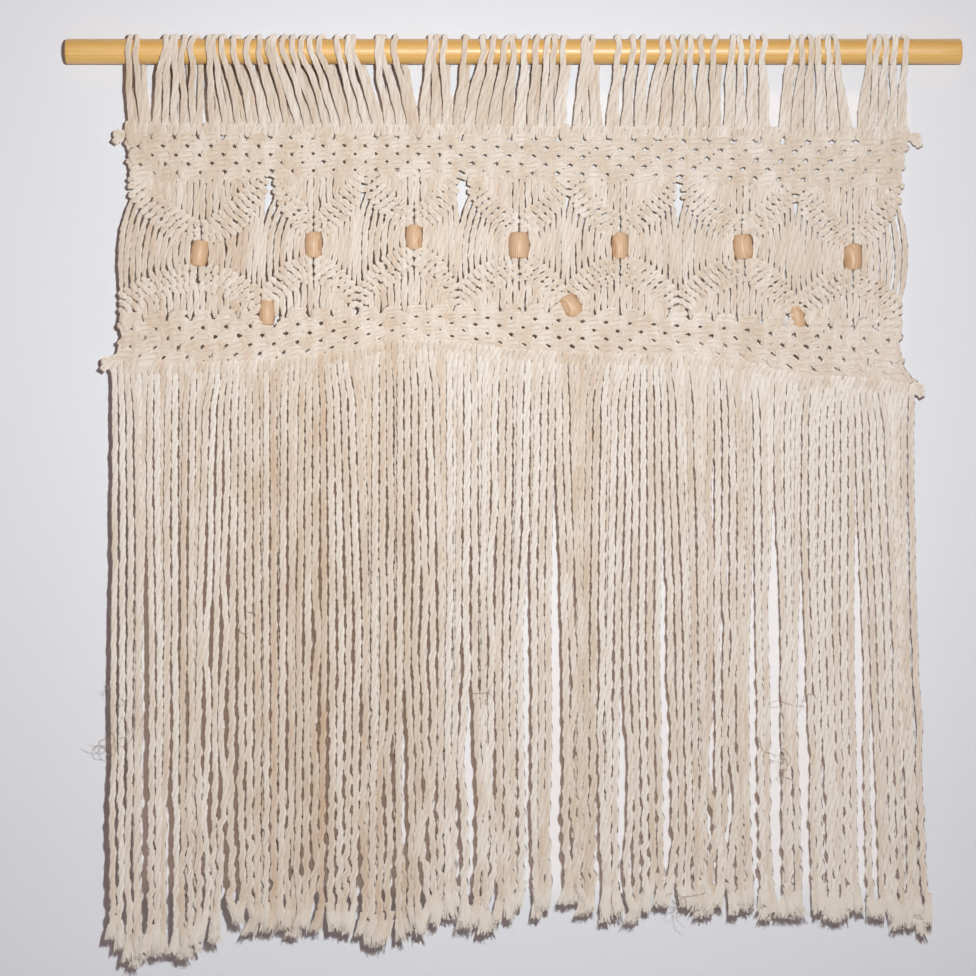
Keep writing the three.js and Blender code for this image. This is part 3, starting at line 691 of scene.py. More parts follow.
def net_knots(rows):
    """Share across and line down of every knot of a net whose rows stand half a knot apart."""
    places = []
    for row in range(rows):
        odd = row % 2
        across = (np.arange(KNOTS_ACROSS - odd) + 0.5 + odd / 2) / KNOTS_ACROSS
        places += [(share, row + 0.5) for share in across]
    return np.array(places)


def square_knots(draw, place, knots, radius, tone):
    """Square knots: two bars tied around the knot's inner strands, a side loop and four strands below."""
    count = len(knots)
    share = knots[:, :1]
    line = knots[:, 1:] + draw.normal(0, KNOT_UNEVEN_LINE, (count, 1))
    fuller = 1 + EDGE_FULLNESS * np.exp(-np.minimum(share, 1 - share) / EDGE_REACH)
    size = draw.uniform(*KNOT_SIZES, (count, 1)) * fuller
    thick = radius * draw.uniform(*KNOT_THICKNESS, (count, 1)) * fuller
    hand = draw.choice([-1, 1], (count, 1))
    tone = tone + tan_on_left(place(knots[:, 0], knots[:, 1])[0])
    angle = TURN * np.arange(RING_STATIONS) / RING_STATIONS
    shapes = []
    for rise in (KNOT_BAR_RISE, -KNOT_BAR_RISE):
        tilt = KNOT_BAR_TILT * draw.uniform(*KNOT_BAR_TILTS, (count, 1))
        strokes = np.stack(
            [
                KNOT_HALF_WIDTH * size * np.cos(angle),
                np.broadcast_to(KNOT_HALF_DEPTH * np.sin(angle), (count, RING_STATIONS)),
                rise + tilt * np.cos(angle),
            ],
            -1,
        )
        paths = net_paths(place, share, line, strokes)
        shapes.append(twisted(paths, thick, (0, 0, 1), tone, sides=RING_SIDES, closed=True))
    side_loop = np.array(SIDE_LOOP_LINE) * size[..., None]
    side_loop[..., 0] *= hand
    side_paths = net_paths(place, share, line, side_loop)
    shapes.append(twisted(side_paths, thick * SIDE_LOOP_THINNER, (0, 1, 0), tone))
    for way in (1, -1):
        lines = [np.array(PAIR_LINE) + apart * np.array(PAIR_APART) for apart in (-1, 1)]
        for strokes in (*lines, np.array(FILLER_LINE)):
            strokes = np.broadcast_to(strokes * (way, 1, 1), (count, *strokes.shape))
            shapes.append(twisted(net_paths(place, share, line, strokes), thick, (0, 1, 0), tone))
    return merged(shapes)


def edge_strands(draw, place, rows):
    """The two strands at each side edge of a net, which hang straight where a row has no knot there."""
    line = np.linspace(0, rows, EDGE_STATIONS * rows)
    paths = []
    for strand in EDGE_STRANDS:
        x, drop = place(np.full(len(line), strand / KNOTS_ACROSS), line)
        paths.append(np.stack([x + np.sin(line * math.pi) * EDGE_SWING, 0 * x, -drop], 1))
    return twisted(paths, KNOT_RADIUS, (0, 1, 0), draw.uniform(*EDGE_TONE, len(paths)))


def knotted_net(draw, place, rows, knots, radius):
    """Net of square knots with the strands along its side edges."""
    tone = draw.uniform(*KNOT_TONE, len(knots))
    return merged([square_knots(draw, place, knots, radius, tone), edge_strands(draw, place, rows)])


upper_net = knotted_net(net_draw, upper_net_place, UPPER_NET_ROWS, net_knots(UPPER_NET_ROWS), KNOT_RADIUS)
add_piece("upper_net", upper_net, cotton_cord, "cotton_cord", "panel")

# The X motifs: seven crosses side by side, each of four diagonal bars of double half hitches, three rows
# wide, with a bead at the crossing. The strands hang free above, beside and below the bars.
MOTIF_COLUMNS = ("strands", "parting", "x", "drop", "width", "height", "tilt")
MOTIF_ROWS = [
    (24, 8, -314, 202, 18, 26, 8),
    (16, 2.5, -200, 193.5, 17.5, 26, 0),
    (17, 11, -99.5, 186, 17, 25, 0),
    (18, 2.5, 5.5, 194, 21, 26, 0),
    (19, 9, 106.5, 194.5, 17, 26, 0),
    (20, 3, 229.5, 195.5, 20, 25, -6),
    (18, 2, 339.5, 205.5, 18.5, 26, 0),
]
MOTIFS = table(MOTIF_COLUMNS, MOTIF_ROWS)
LOWER_PARTING = 2
BAR_TOP_LAP = 9
UPPER_BAR_OUTER = 26
UPPER_BAR_INNER = 21
LOWER_BAR_OUTER = 24
LOWER_BAR_INNER = 24
BAR_OVER_BEAD = 2
UPPER_BAR_BENDS = (1.3, 2.6)
LOWER_BAR_BENDS = (2.3, 1.3)
BAR_CENTRE_GAP = 1.0
LOWER_NET_TOP_SHARES = (0, 0.5, 1)
LOWER_NET_TOP_DROPS = (264, 254, 273)
FUSE = 2
BAR_WRAP_PITCH = 6.7
BAR_WRAP_RADIUS = 2.95
BAR_WRAP_INSET = BAR_WRAP_RADIUS * 0.35
BAR_WRAP_LEAST = 1.2
BAR_WRAP_UNEVEN = 0.4
BAR_CORD_RADIUS = 1.9
BAR_CORD_TONE = 0.3
BAR_STATIONS = 16
UPPER_BAR_SLANT = 0.15
LOWER_BAR_SLANT = -0.2
BAR_ROWS = (0.17, 0.5, 0.83)
BAR_HALF_DEPTH = 3.3
STRAND_RADIUS = 3.45
STRAND_THICKNESS = (0.92, 1.05)
STRAND_PINCH = 0.62
STRAND_PINCH_EASE = 1.5
STRAND_PITCH = 6.1
STRAND_CROWDING = 1.08
UPPER_STRAND_INSET = STRAND_RADIUS - 0.6
LOWER_STRAND_INSET = STRAND_RADIUS - 1.6
STRAND_LAYER = 0.6
STRAND_EASE = 2
STRAND_TONE = (0.12, 0.34)
STRAND_RUN = 60
STRAND_WANDER = 0.9
STRAND_WAVE = 60
STRAND_DEPTH_WANDER = 0.8
STRAND_DEPTH_WAVE = 70
TAN_PLACE = -281
TAN_REACH = 17
TAN_TONE = 0.22
TAN_WANDER = 1.5
STRAND_STATIONS = 16
STRAND_ROOT = 5
SHORTEST_STRAND = 5
INNER_END = 9.5
BEAD_SIDE_ROOM = 3.2
CENTRE_PAIR = 3.0
OUTER_BOW = 1.5
RIGHT_EDGE_BOW = 7
motif_draw = np.random.default_rng(21)


def lower_net_top(share):
    """Drop of the upper edge of the lower net."""
    return np.interp(share, LOWER_NET_TOP_SHARES, LOWER_NET_TOP_DROPS)


def motif_bars(motif, first_strand, parting_before):
    """Upper and lower pair of bars, each as rows of x, top drop and bottom drop at its three corners."""
    left_share = first_strand / STRANDS
    right_share = (first_strand + motif["strands"]) / STRANDS
    lean = math.tan(math.radians(motif["tilt"])) * motif["height"] / 2
    half = motif["height"] / 2 - BAR_OVER_BEAD
    tip = motif["drop"] - half
    fork = motif["drop"] + half
    left_x = panel_x(left_share, EDGE_DROPS[1]) + parting_before / 2
    right_x = panel_x(right_share, EDGE_DROPS[1]) - motif["parting"] / 2
    left_top = upper_net_bottom(left_x) - BAR_TOP_LAP
    right_top = upper_net_bottom(right_x) - BAR_TOP_LAP
    left_bottom = lower_net_top(left_share) + FUSE
    right_bottom = lower_net_top(right_share) + FUSE
    left_foot = panel_x(left_share, left_bottom) + LOWER_PARTING / 2
    right_foot = panel_x(right_share, right_bottom) - LOWER_PARTING / 2
    upper = [
        (left_x, left_top, left_top + UPPER_BAR_OUTER),
        (motif["x"] + lean, tip - UPPER_BAR_INNER, tip),
        (right_x, right_top, right_top + UPPER_BAR_OUTER),
    ]
    lower = [
        (left_foot, left_bottom - LOWER_BAR_OUTER, left_bottom),
        (motif["x"] - lean, fork, fork + LOWER_BAR_INNER),
        (right_foot, right_bottom - LOWER_BAR_OUTER, right_bottom),
    ]
    return np.array(upper), np.array(lower)


def bar_edges(bar, bends, x):
    """Drops of the upper and lower edge of a pair of bars: the edge towards the bead is more bowed."""
    outer = np.where((x < bar[1, 0])[..., None], bar[0], bar[2])
    way = np.clip((x - outer[..., 0]) / (bar[1, 0] - outer[..., 0]), 0, 1)
    edges = []
    for edge, bend in zip((1, 2), bends):
        eased = 1 - (1 - way) ** bend
        edges.append(outer[..., edge] + (bar[1, edge] - outer[..., edge]) * eased)
    return edges


def bar_wraps(draw, bar, bends, slant):
    """Rows of hitches along each of the two bars of a pair."""
    shapes = []
    for side, towards in ((0, 1), (2, -1)):
        x = np.linspace(bar[side, 0], bar[1, 0] - towards * BAR_CENTRE_GAP, BAR_STATIONS)
        top, bottom = bar_edges(bar, bends, x)
        for row in BAR_ROWS:
            line = np.stack([x, 0 * x, -(top + (bottom - top) * row)], 1)
            along = np.concatenate([[0], np.cumsum(np.linalg.norm(np.diff(line, axis=0), axis=1))])
            count = round(along[-1] / BAR_WRAP_PITCH)
            stations = (np.arange(count) + 0.5) / count * along[-1]
            centres = np.stack([np.interp(stations, along, line[:, axis]) for axis in range(3)], 1)
            holding = np.gradient(centres, axis=0)
            holding /= np.linalg.norm(holding, axis=1, keepdims=True)
            height = np.interp(stations, along, bottom - top) * np.abs(holding[:, 0]) / len(BAR_ROWS)
            half_height = np.clip(height / 2 - BAR_WRAP_INSET, BAR_WRAP_LEAST, None)[:, None, None]
            centres += draw.normal(0, BAR_WRAP_UNEVEN, centres.shape)
            tone = draw.uniform(*KNOT_TONE, count) + tan_on_left(centres[:, 0])
            shapes.append(twisted(line[None], BAR_CORD_RADIUS, (0, 1, 0), [BAR_CORD_TONE]))
            shapes.append(
                wraps(draw, centres, holding, half_height, BAR_HALF_DEPTH, BAR_WRAP_RADIUS, tone, slant)
            )
    return shapes


def hanging(draw, tops, bottoms, bow, ease, tone):
    """Strands between places (x, y, z), bowed sideways, most of their slant high up if eased."""
    tops = np.array(tops)
    bottoms = np.array(bottoms)
    count = len(tops)
    step = np.linspace(0, 1, STRAND_STATIONS)
    paths = tops[:, None] + (bottoms - tops)[:, None] * step[None, :, None]
    slant = 1 - (1 - step) ** np.array(ease)[:, None]
    paths[:, :, 0] = tops[:, :1] + (bottoms - tops)[:, :1] * slant
    slack = np.sin(math.pi * step)
    tan = np.exp(-(((tops[:, :1] - TAN_PLACE) / TAN_REACH) ** 2))
    tone = tone + TAN_TONE * tan[:, 0] + tan_on_left(tops[:, 0])
    paths[:, :, 0] += np.array(bow)[:, None] * slack
    run = step * STRAND_RUN
    paths[:, :, 0] += wander(draw, run, count, STRAND_WANDER + TAN_WANDER * tan, STRAND_WAVE) * slack
    paths[:, :, 1] += wander(draw, run, count, STRAND_DEPTH_WANDER, STRAND_DEPTH_WAVE) * slack
    thick = STRAND_RADIUS * draw.uniform(*STRAND_THICKNESS, (count, 1))
    pinched = 1 - STRAND_PINCH * (1 - slack) ** STRAND_PINCH_EASE
    return twisted(paths, thick * pinched, (0, 1, 0), tone)


def motif_strands(draw, motif, upper, lower, band_left, band_right):
    """Strands of one motif: inside the V of the upper bars, beside the bead and under the lower bars."""
    tops, bottoms, bows, eases = [], [], [], []
    for x in (motif["x"] - CENTRE_PAIR, motif["x"] + CENTRE_PAIR):
        across = (x - lower[0, 0]) / (lower[2, 0] - lower[0, 0])
        net_top = lower_net_top(band_left + (band_right - band_left) * across)
        tops += [(x, 0, STRAND_ROOT - upper_net_bottom(x)), (x, 0, STRAND_ROOT - lower[1, 2])]
        bottoms += [(x, 0, -upper[1, 1] - STRAND_ROOT), (x, 0, -net_top - STRAND_ROOT)]
        bows += [0, 0]
        eases += [1, 1]
    for side, towards in ((0, 1), (2, -1)):
        bow_room = motif["width"] / 2 + BEAD_SIDE_ROOM - INNER_END
        inner = motif["x"] - towards * INNER_END
        outer_bow = RIGHT_EDGE_BOW if side == 2 and band_right == 1 else OUTER_BOW
        room = (abs(inner - upper[side, 0]) + abs(inner - lower[side, 0])) / 2
        count = round(room / STRAND_PITCH) + 1
        for number in range(count):
            way = (number / (count - 1)) ** STRAND_CROWDING
            upper_x = upper[side, 0] + towards * UPPER_STRAND_INSET
            upper_x += (inner - upper_x) * way
            lower_x = lower[side, 0] + towards * LOWER_STRAND_INSET
            lower_x += (inner - lower_x) * way
            bar_top, bar_bottom = bar_edges(upper, UPPER_BAR_BENDS, np.array(upper_x))
            fork_top, fork_bottom = bar_edges(lower, LOWER_BAR_BENDS, np.array(lower_x))
            across = (lower_x - lower[0, 0]) / (lower[2, 0] - lower[0, 0])
            net_top = lower_net_top(band_left + (band_right - band_left) * across)
            depth = STRAND_LAYER * (-1) ** number
            bow = -towards * (bow_room * way**2 + outer_bow * (1 - way) ** 3)
            stretches = [
                (upper_x, upper_net_bottom(upper_x), upper_x, bar_top, 0),
                (upper_x, bar_bottom, lower_x, fork_top, bow),
                (lower_x, fork_bottom, lower_x, net_top, 0),
            ]
            for top_x, top, bottom_x, bottom, aside in stretches:
                if bottom - top > SHORTEST_STRAND:
                    tops.append((top_x, depth, -(top - STRAND_ROOT)))
                    bottoms.append((bottom_x, depth, -(bottom + STRAND_ROOT)))
                    bows.append(aside)
                    eases.append(1 + STRAND_EASE * (1 - way))
    return hanging(draw, tops, bottoms, bows, eases, draw.uniform(*STRAND_TONE, len(tops)))


upper_bar_shapes = []
lower_bar_shapes = []
strand_shapes = []
first_strand = 0
parting_before = 0
for motif in MOTIFS:
    upper, lower = motif_bars(motif, first_strand, parting_before)
    upper_bar_shapes += bar_wraps(motif_draw, upper, UPPER_BAR_BENDS, UPPER_BAR_SLANT)
    lower_bar_shapes += bar_wraps(motif_draw, lower, LOWER_BAR_BENDS, LOWER_BAR_SLANT)
    last_strand = first_strand + motif["strands"]
    strand_shapes.append(
        motif_strands(motif_draw, motif, upper, lower, first_strand / STRANDS, last_strand / STRANDS)
    )
    first_strand = last_strand
    parting_before = motif["parting"]
add_piece("upper_diagonal_bars", merged(upper_bar_shapes), cotton_cord, "cotton_cord", "panel")
add_piece("lower_diagonal_bars", merged(lower_bar_shapes), cotton_cord, "cotton_cord", "panel")
add_piece("motif_strands", merged(strand_shapes), cotton_cord, "cotton_cord", "panel")

# The beads: ten barrels of pale wood, turned, bored through and sanded, seven at the crossings and three
# lower down between motifs. Two cords run side by side through the bore of each.
LOWER_BEAD_COLUMNS = ("x", "drop", "width", "height", "tilt")
LOWER_BEAD_ROWS = [
    (-246.5, 261.5, 16.5, 24, 0),
    (57.5, 254.5, 20, 22, -35),
    (283.5, 265.5, 15, 21, -15),
]
LOWER_BEADS = table(LOWER_BEAD_COLUMNS, LOWER_BEAD_ROWS)
BEADS = MOTIFS + LOWER_BEADS
BEAD_BORE = 10.5
BEAD_WALL = 1.1
BEAD_END = 0.83
BEAD_BARREL = 0.93
BEAD_LIP = 0.07
BEAD_SWELL = 2.4
BARREL_STEPS = 17
LIP_STEPS = 4
BEAD_SIDES = 48
BEAD_RING_WIDTH = 2.1
BEAD_RELIEF = 0.2
BEAD_PITH_ALONG = (-5, 5)
BEAD_PITH_AWAY = (9, 20)
BEAD_GRAIN_LEAN = (-0.12, 0.12)
PAIR_RADIUS = 2.45
PAIR_HALF_SPACING = 2.55
PAIR_REACH = 9
PAIR_SPREAD = (0.15, 0.75)
PAIR_STATIONS = 14
PAIR_TONE = (0.2, 0.5)
bead_draw = np.random.default_rng(34)

turned_bead = turned_wood(
    "turned_bead",
    {"Early Wood": srgb(223, 188, 153), "Late Wood": srgb(206, 162, 123), "Fibre": srgb(192, 145, 106)},
    BEAD_RING_WIDTH,
    BEAD_RELIEF,
    {"Specular IOR Level": 0.25},
)


def bored_barrel(half, radius):
    """Barrel with rounded lips about the X axis, open along its bore."""
    bore = BEAD_BORE / 2
    end_radius = max(radius * BEAD_END, bore + BEAD_WALL)
    lip_turn = np.linspace(0, math.pi / 2, LIP_STEPS)
    barrel = np.linspace(-1, 1, BARREL_STEPS)
    along = half * BEAD_BARREL * barrel
    swell = end_radius + (radius - end_radius) * (1 - np.abs(barrel) ** BEAD_SWELL)
    lip = (end_radius - bore) / 2
    lip_along = half * BEAD_BARREL + half * BEAD_LIP * np.sin(lip_turn)
    lip_radius = end_radius - lip * (1 - np.cos(lip_turn))
    inside_along = half * BEAD_BARREL + half * BEAD_LIP * np.cos(lip_turn)
    inside_radius = bore + lip * (1 - np.sin(lip_turn))
    top_along = np.concatenate([lip_along[1:], inside_along[1:]])
    top_radius = np.concatenate([lip_radius[1:], inside_radius[1:]])
    return lathe(
        np.concatenate([along, top_along, -top_along[::-1]]),
        np.concatenate([swell, top_radius, top_radius[::-1]]),
        BEAD_SIDES,
        closed=True,
    )


def bead_place(bead, along, across, forward):
    """Places about a bead, given along its leaning axis, across it and forward."""
    tilt = math.radians(bead["tilt"])
    x = bead["x"] + along * math.sin(tilt) + across * math.cos(tilt)
    z = -bead["drop"] + along * math.cos(tilt) - across * math.sin(tilt)
    return np.stack([x, -forward, z], -1)


pair_paths = []
for number, bead in enumerate(BEADS, 1):
    half = bead["height"] / 2
    shape = bored_barrel(half, bead["width"] / 2)
    local = shape["points"]
    pith_along = bead_draw.uniform(*BEAD_PITH_ALONG)
    pith_away = bead_draw.uniform(*BEAD_PITH_AWAY, 2) * bead_draw.choice([-1, 1], 2)
    grain = (local - np.array([pith_along, *pith_away]))[:, [1, 2, 0]]
    shape["grain"] = grain + bead_draw.uniform(*BEAD_GRAIN_LEAN, 3) * local[:, :1]
    shape["points"] = bead_place(bead, local[:, 0], local[:, 1], local[:, 2])
    add_piece(f"bead_{number}_turned", shape, turned_bead, "bead_wood", f"bead_{number}")
    step = np.linspace(-1, 1, PAIR_STATIONS)
    reach_along = step * (half + PAIR_REACH)
    outside = np.clip(np.abs(reach_along) - half, 0, None) / PAIR_REACH
    spread = 1 + bead_draw.uniform(*PAIR_SPREAD) * outside
    for side in (-1, 1):
        pair_paths.append(bead_place(bead, reach_along, side * PAIR_HALF_SPACING * spread, 0 * step))
bead_cords = twisted(pair_paths, PAIR_RADIUS, (0, 1, 0), bead_draw.uniform(*PAIR_TONE, len(pair_paths)))
add_piece("cords_through_beads", bead_cords, cotton_cord, "cotton_cord", "panel")

# The lower net: five more rows of alternating square knots under the motifs, tied in an arch that
# follows the lower row of hitches. Where a bead hangs in its upper edge there is no knot.
LOWER_NET_ROWS = 5
LOWER_KNOT_RADIUS = 2.75
KNOT_BESIDE_BEAD = 3
KNOT_UNDER_BEAD = 5
NET_FLARE = 4
ARCH_ROWS = [
    (-402, 321),
    (-356, 325),
    (-300, 323),
    (-224, 319),
    (-174, 313),
    (-125, 303),
    (-60, 302),
    (-20, 308),
    (10, 311),
    (90, 314),
    (190, 318),
    (240, 324),
    (268, 332),
    (295, 336),
    (340, 338),
    (375, 342),
    (401, 344),
]
ARCH_X, ARCH_BOTTOMS = np.transpose(ARCH_ROWS)
lower_draw = np.random.default_rng(55)


def smooth(step):
    """Share of a way gone, from 0 to 1, that starts and ends gently."""
    step = np.clip(step, 0, 1)
    return step * step * (3 - 2 * step)


def arch_bottom(x):
    """Drop of the lower edge of the arched row: a smooth curve through the places of its table."""
    slopes = np.gradient(ARCH_BOTTOMS, ARCH_X)
    part = np.clip(np.searchsorted(ARCH_X, x) - 1, 0, len(ARCH_X) - 2)
    span = np.diff(ARCH_X)[part]
    step = np.clip((x - np.take(ARCH_X, part)) / span, 0, 1)
    low = np.take(ARCH_BOTTOMS, part)
    high = np.take(ARCH_BOTTOMS, part + 1)
    leave = step * (1 - step) ** 2 * span * slopes[part]
    arrive = step * step * (step - 1) * span * slopes[part + 1]
    return low + (high - low) * smooth(step) + leave + arrive


def arch_x(share):
    """Place across the arched row, from 0 at its left end to 1 at its right end."""
    return ARCH_X[0] + (ARCH_X[-1] - ARCH_X[0]) * share


def lower_net_place(share, line):
    """Place in the lower net, by the share across it and the number of lines of knots down it."""
    top = lower_net_top(share)
    bottom = arch_bottom(arch_x(share)) - ROW_HEIGHT
    way = line / LOWER_NET_ROWS
    drop = top + (bottom - top) * way
    flare = np.clip(way, 0, 1) ** NET_FLARE
    return panel_x(share, drop) * (1 - flare) + arch_x(share) * flare, drop


lower_knots = net_knots(LOWER_NET_ROWS)
knot_x, knot_drop = lower_net_place(lower_knots[:, 0], lower_knots[:, 1])
clear = np.full(len(lower_knots), True)
for bead in LOWER_BEADS:
    beside_bead = np.abs(knot_x - bead["x"]) < bead["width"] / 2 + KNOT_BESIDE_BEAD
    level_with_bead = np.abs(knot_drop - bead["drop"]) < bead["height"] / 2 - KNOT_UNDER_BEAD
    clear &= ~(beside_bead & level_with_bead)
lower_knots = lower_knots[clear]
lower_net = knotted_net(lower_draw, lower_net_place, LOWER_NET_ROWS, lower_knots, LOWER_KNOT_RADIUS)
add_piece("lower_net", lower_net, cotton_cord, "cotton_cord", "panel")

# The lower row: the same double half hitches as in the top row, on a holding cord that hangs in an arch.
# It closes off the knotted panel, and the loose ends of all the strands come out under it.
YELLOWED_COLUMNS = ("x", "reach", "tone")
YELLOWED_ROWS = [(-215, 55, 0.26), (-120, 45, 0.22), (75, 35, 0.26), (-330, 30, 0.12), (200, 40, 0.1)]
YELLOWED = table(YELLOWED_COLUMNS, YELLOWED_ROWS)
LOWER_HITCH_TONE = (0.06, 0.32)
HITCH_YELLOWING = 0.6
LOWER_LEFT_KNOT = (ARCH_X[0] - 4, ARCH_BOTTOMS[0] - ROW_HEIGHT * 0.7)
LOWER_RIGHT_KNOT = (ARCH_X[-1] + 3, ARCH_BOTTOMS[-1] - ROW_HEIGHT * 0.5)


def yellowing(x):
    """How much darker the strands have grown in the places where they have yellowed."""
    return sum(mark["tone"] * np.exp(-(((x - mark["x"]) / mark["reach"]) ** 2)) for mark in YELLOWED)


arch_hitch_x = arch_x(strand_share)
arch_hitch_drop = arch_bottom(arch_hitch_x) - ROW_HEIGHT / 2
arch_hitch_drop += lower_draw.normal(0, HITCH_UNEVEN_DROP, STRANDS)
arch_places = np.stack([arch_hitch_x, 0 * arch_hitch_x, -arch_hitch_drop], 1)
arch_ahead = np.gradient(arch_places, axis=0)
arch_ahead[:, 2] = -np.gradient(arch_bottom(arch_hitch_x))
arch_ahead /= np.linalg.norm(arch_ahead, axis=1, keepdims=True)
arch_tone = lower_draw.uniform(*LOWER_HITCH_TONE, STRANDS)
arch_tone = arch_tone + HITCH_YELLOWING * yellowing(arch_hitch_x) + tan_on_left(arch_hitch_x)
lower_row = hitch_row(lower_draw, arch_places, arch_ahead, arch_tone, LOWER_LEFT_KNOT, LOWER_RIGHT_KNOT)
add_piece("lower_row_of_hitches", lower_row, cotton_cord, "cotton_cord", "fringe")

# The fringe: the loose ends of all the strands, which hang in two layers and part into locks on the way
# down. They were unrolled off a ball, so they keep slow waves, and some have yellowed.
HEM_ROWS = [
    (-404, 896),
    (-385, 915),
    (-356, 900),
    (-336, 906),
    (-306, 897),
    (-276, 874),
    (-257, 887),
    (-236, 879),
    (-185, 886),
    (-126, 894),
    (-93, 877),
    (-68, 868),
    (-33, 880),
    (6, 869),
    (18, 875),
    (42, 861),
    (57, 858),
    (126, 872),
    (166, 861),
    (236, 865),
    (258, 875),
    (283, 868),
    (343, 870),
    (388, 875),
    (423, 866),
]
HEM_X, HEM_DROPS = np.transpose(HEM_ROWS)
HEM_UNEVEN = 3.6
SLIT_COLUMNS = ("x", "width", "drop", "opening", "reach")
SLIT_OPENING = 220
SLIT_REACH = 30
LOCKS = 27
LOCK_ASIDE = 6
LOCK_SLIT_WIDTH = (2, 7)
LOCK_SLIT_DROP = (600, 740)
LOCK_OPENING = 140
LOCK_REACH = 12
LOCK_HEM = 4.0
SLIT_ROWS = [
    (-365, 8, 420),
    (-272, 3, 520),
    (-159, 4, 560),
    (-121, 6, 600),
    (-41, 9, 540),
    (20, 9, 430),
    (43, 10, 370),
    (116, 8, 560),
    (147, 7, 420),
    (236, 8, 450),
    (259, 16, 400),
    (294, 11, 470),
    (338, 8, 400),
    (376, 9, 460),
]
LEFT_DRIFT = -2
RIGHT_DRIFT = 12
LAYER_DEPTH = 2.8
BACK_GROUP = 11
BACK_IN_GROUP = 3
BACK_LAYER = 1.5
FRONT_LAYER = (-1, 0.2)
BACK_ASIDE = (0.2, 0.5)
SETTLING = 300
SOON_SETTLED = 0.45
SOON = 45
LOOSE_AT_ROOT = 0.35
LOOSENING = 1.5
SWING_SHAPE = 2
SWING = 1.2
SWING_LENGTH = 200
SWING_GROWTH = 0.5
FRINGE_WAVE = (0.8, 56)
FRINGE_RIPPLE = (0.45, 36)
FRINGE_CRIMP = (1.7, 27)
CRIMP_START = 0.4
CRIMP_SHARES = (0.3, 1.5)
DEPTH_WAVE = (1.0, 90)
DEPTH_AT_ROOT = 0.2
FRINGE_RADIUS = 3.5
FRINGE_THICKNESS = (0.9, 1.1)
FRINGE_SWELL = 0.06
THICKNESS_WAVE = (0.06, 27)
THICKNESS_AT_ROOT = 0.3
FRINGE_PLUMP = 0.16
PLUMP_SHARES = (0.4, 1.2)
FRINGE_TONE = 0.06
FRINGE_END_TONE = 0.04
FRINGE_TAN = 0.7
FRINGE_UNEVEN_TONE = 0.09
TONE_WAVE = (0.06, 160)
FRINGE_STATIONS = 104
BRUSH_LENGTH = 24
fringe_draw = np.random.default_rng(89)
lock_x = np.linspace(ARCH_X[0], ARCH_X[-1], LOCKS + 1)[1:-1] + fringe_draw.normal(0, LOCK_ASIDE, LOCKS - 1)
lock_width = fringe_draw.uniform(*LOCK_SLIT_WIDTH, LOCKS - 1)
lock_drop = fringe_draw.uniform(*LOCK_SLIT_DROP, LOCKS - 1)
lock_hem = fringe_draw.normal(0, LOCK_HEM, LOCKS)
SLITS = table(SLIT_COLUMNS, [(*row, SLIT_OPENING, SLIT_REACH) for row in SLIT_ROWS])
LOCK_ROWS = zip(lock_x, lock_width, lock_drop)
SLITS += table(SLIT_COLUMNS, [(*row, LOCK_OPENING, LOCK_REACH) for row in LOCK_ROWS])


def slit_shift(x, drop):
    """How far strands have moved aside at the slits between the locks."""
    total = 0
    for slit in SLITS:
        opened = smooth((drop - slit["drop"]) / slit["opening"])
        nearness = np.exp(-np.abs(x - slit["x"]) / slit["reach"])
        total = total + np.sign(x - slit["x"]) * slit["width"] / 2 * opened * nearness
    return total


root_x = arch_x(strand_share)[:, None]
root_drop = arch_bottom(root_x) - ROOT
hem_drop = np.interp(root_x, HEM_X, HEM_DROPS) + fringe_draw.normal(0, HEM_UNEVEN, (STRANDS, 1))
hem_drop = hem_drop + np.clip(lock_hem[np.searchsorted(np.sort(lock_x), root_x)], None, LOCK_HEM)
cord_end = hem_drop - BRUSH_LENGTH
step = np.linspace(0, 1, FRINGE_STATIONS)
fringe_drop = root_drop + (cord_end - root_drop) * step
way = (fringe_drop - root_drop) / (hem_drop - root_drop)
drift = way**2 * (LEFT_DRIFT + (RIGHT_DRIFT - LEFT_DRIFT) * strand_share[:, None] ** 3)
loose = LOOSE_AT_ROOT + (1 - LOOSE_AT_ROOT) * way**LOOSENING
behind = np.concatenate(
    [fringe_draw.permutation(BACK_GROUP) < BACK_IN_GROUP for _ in range(STRANDS // BACK_GROUP)]
)
front = ~behind
front_strands = front.sum()
front_pitch = (ARCH_X[-1] - ARCH_X[0]) / front_strands
settled_x = np.empty(STRANDS)
settled_x[front] = arch_x((np.arange(front_strands) + 0.5) / front_strands)
settled_x[behind] = np.interp(np.flatnonzero(behind), np.flatnonzero(front), settled_x[front])
aside = fringe_draw.choice([-1, 1], behind.sum()) * fringe_draw.uniform(*BACK_ASIDE, behind.sum())
settled_x[behind] += aside * front_pitch
below_root = fringe_drop - root_drop
layering = smooth(below_root / SOON)
settling = SOON_SETTLED * layering + (1 - SOON_SETTLED) * smooth(below_root / SETTLING)


def fringe_wave(size, wavelength):
    """Wandering of all the fringe's cords down their length."""
    return wander(fringe_draw, fringe_drop, STRANDS, size, wavelength)


fringe_x = root_x + (settled_x[:, None] - root_x) * settling
fringe_x = fringe_x + drift + slit_shift(root_x, fringe_drop)
swing = fringe_draw.gamma(SWING_SHAPE, SWING, (STRANDS, 1))
fringe_x = fringe_x + fringe_wave(swing, SWING_LENGTH) * loose * way**SWING_GROWTH
fringe_x = fringe_x + fringe_wave(*FRINGE_WAVE) * loose
fringe_x = fringe_x + fringe_wave(*FRINGE_RIPPLE) * layering
crimp = smooth((way - CRIMP_START) / (1 - CRIMP_START)) * fringe_draw.uniform(*CRIMP_SHARES, (STRANDS, 1))
fringe_x = fringe_x + fringe_wave(*FRINGE_CRIMP) * crimp
layer = np.where(behind, BACK_LAYER, fringe_draw.uniform(*FRONT_LAYER, STRANDS))[:, None] * LAYER_DEPTH
depth_share = DEPTH_AT_ROOT + (1 - DEPTH_AT_ROOT) * way
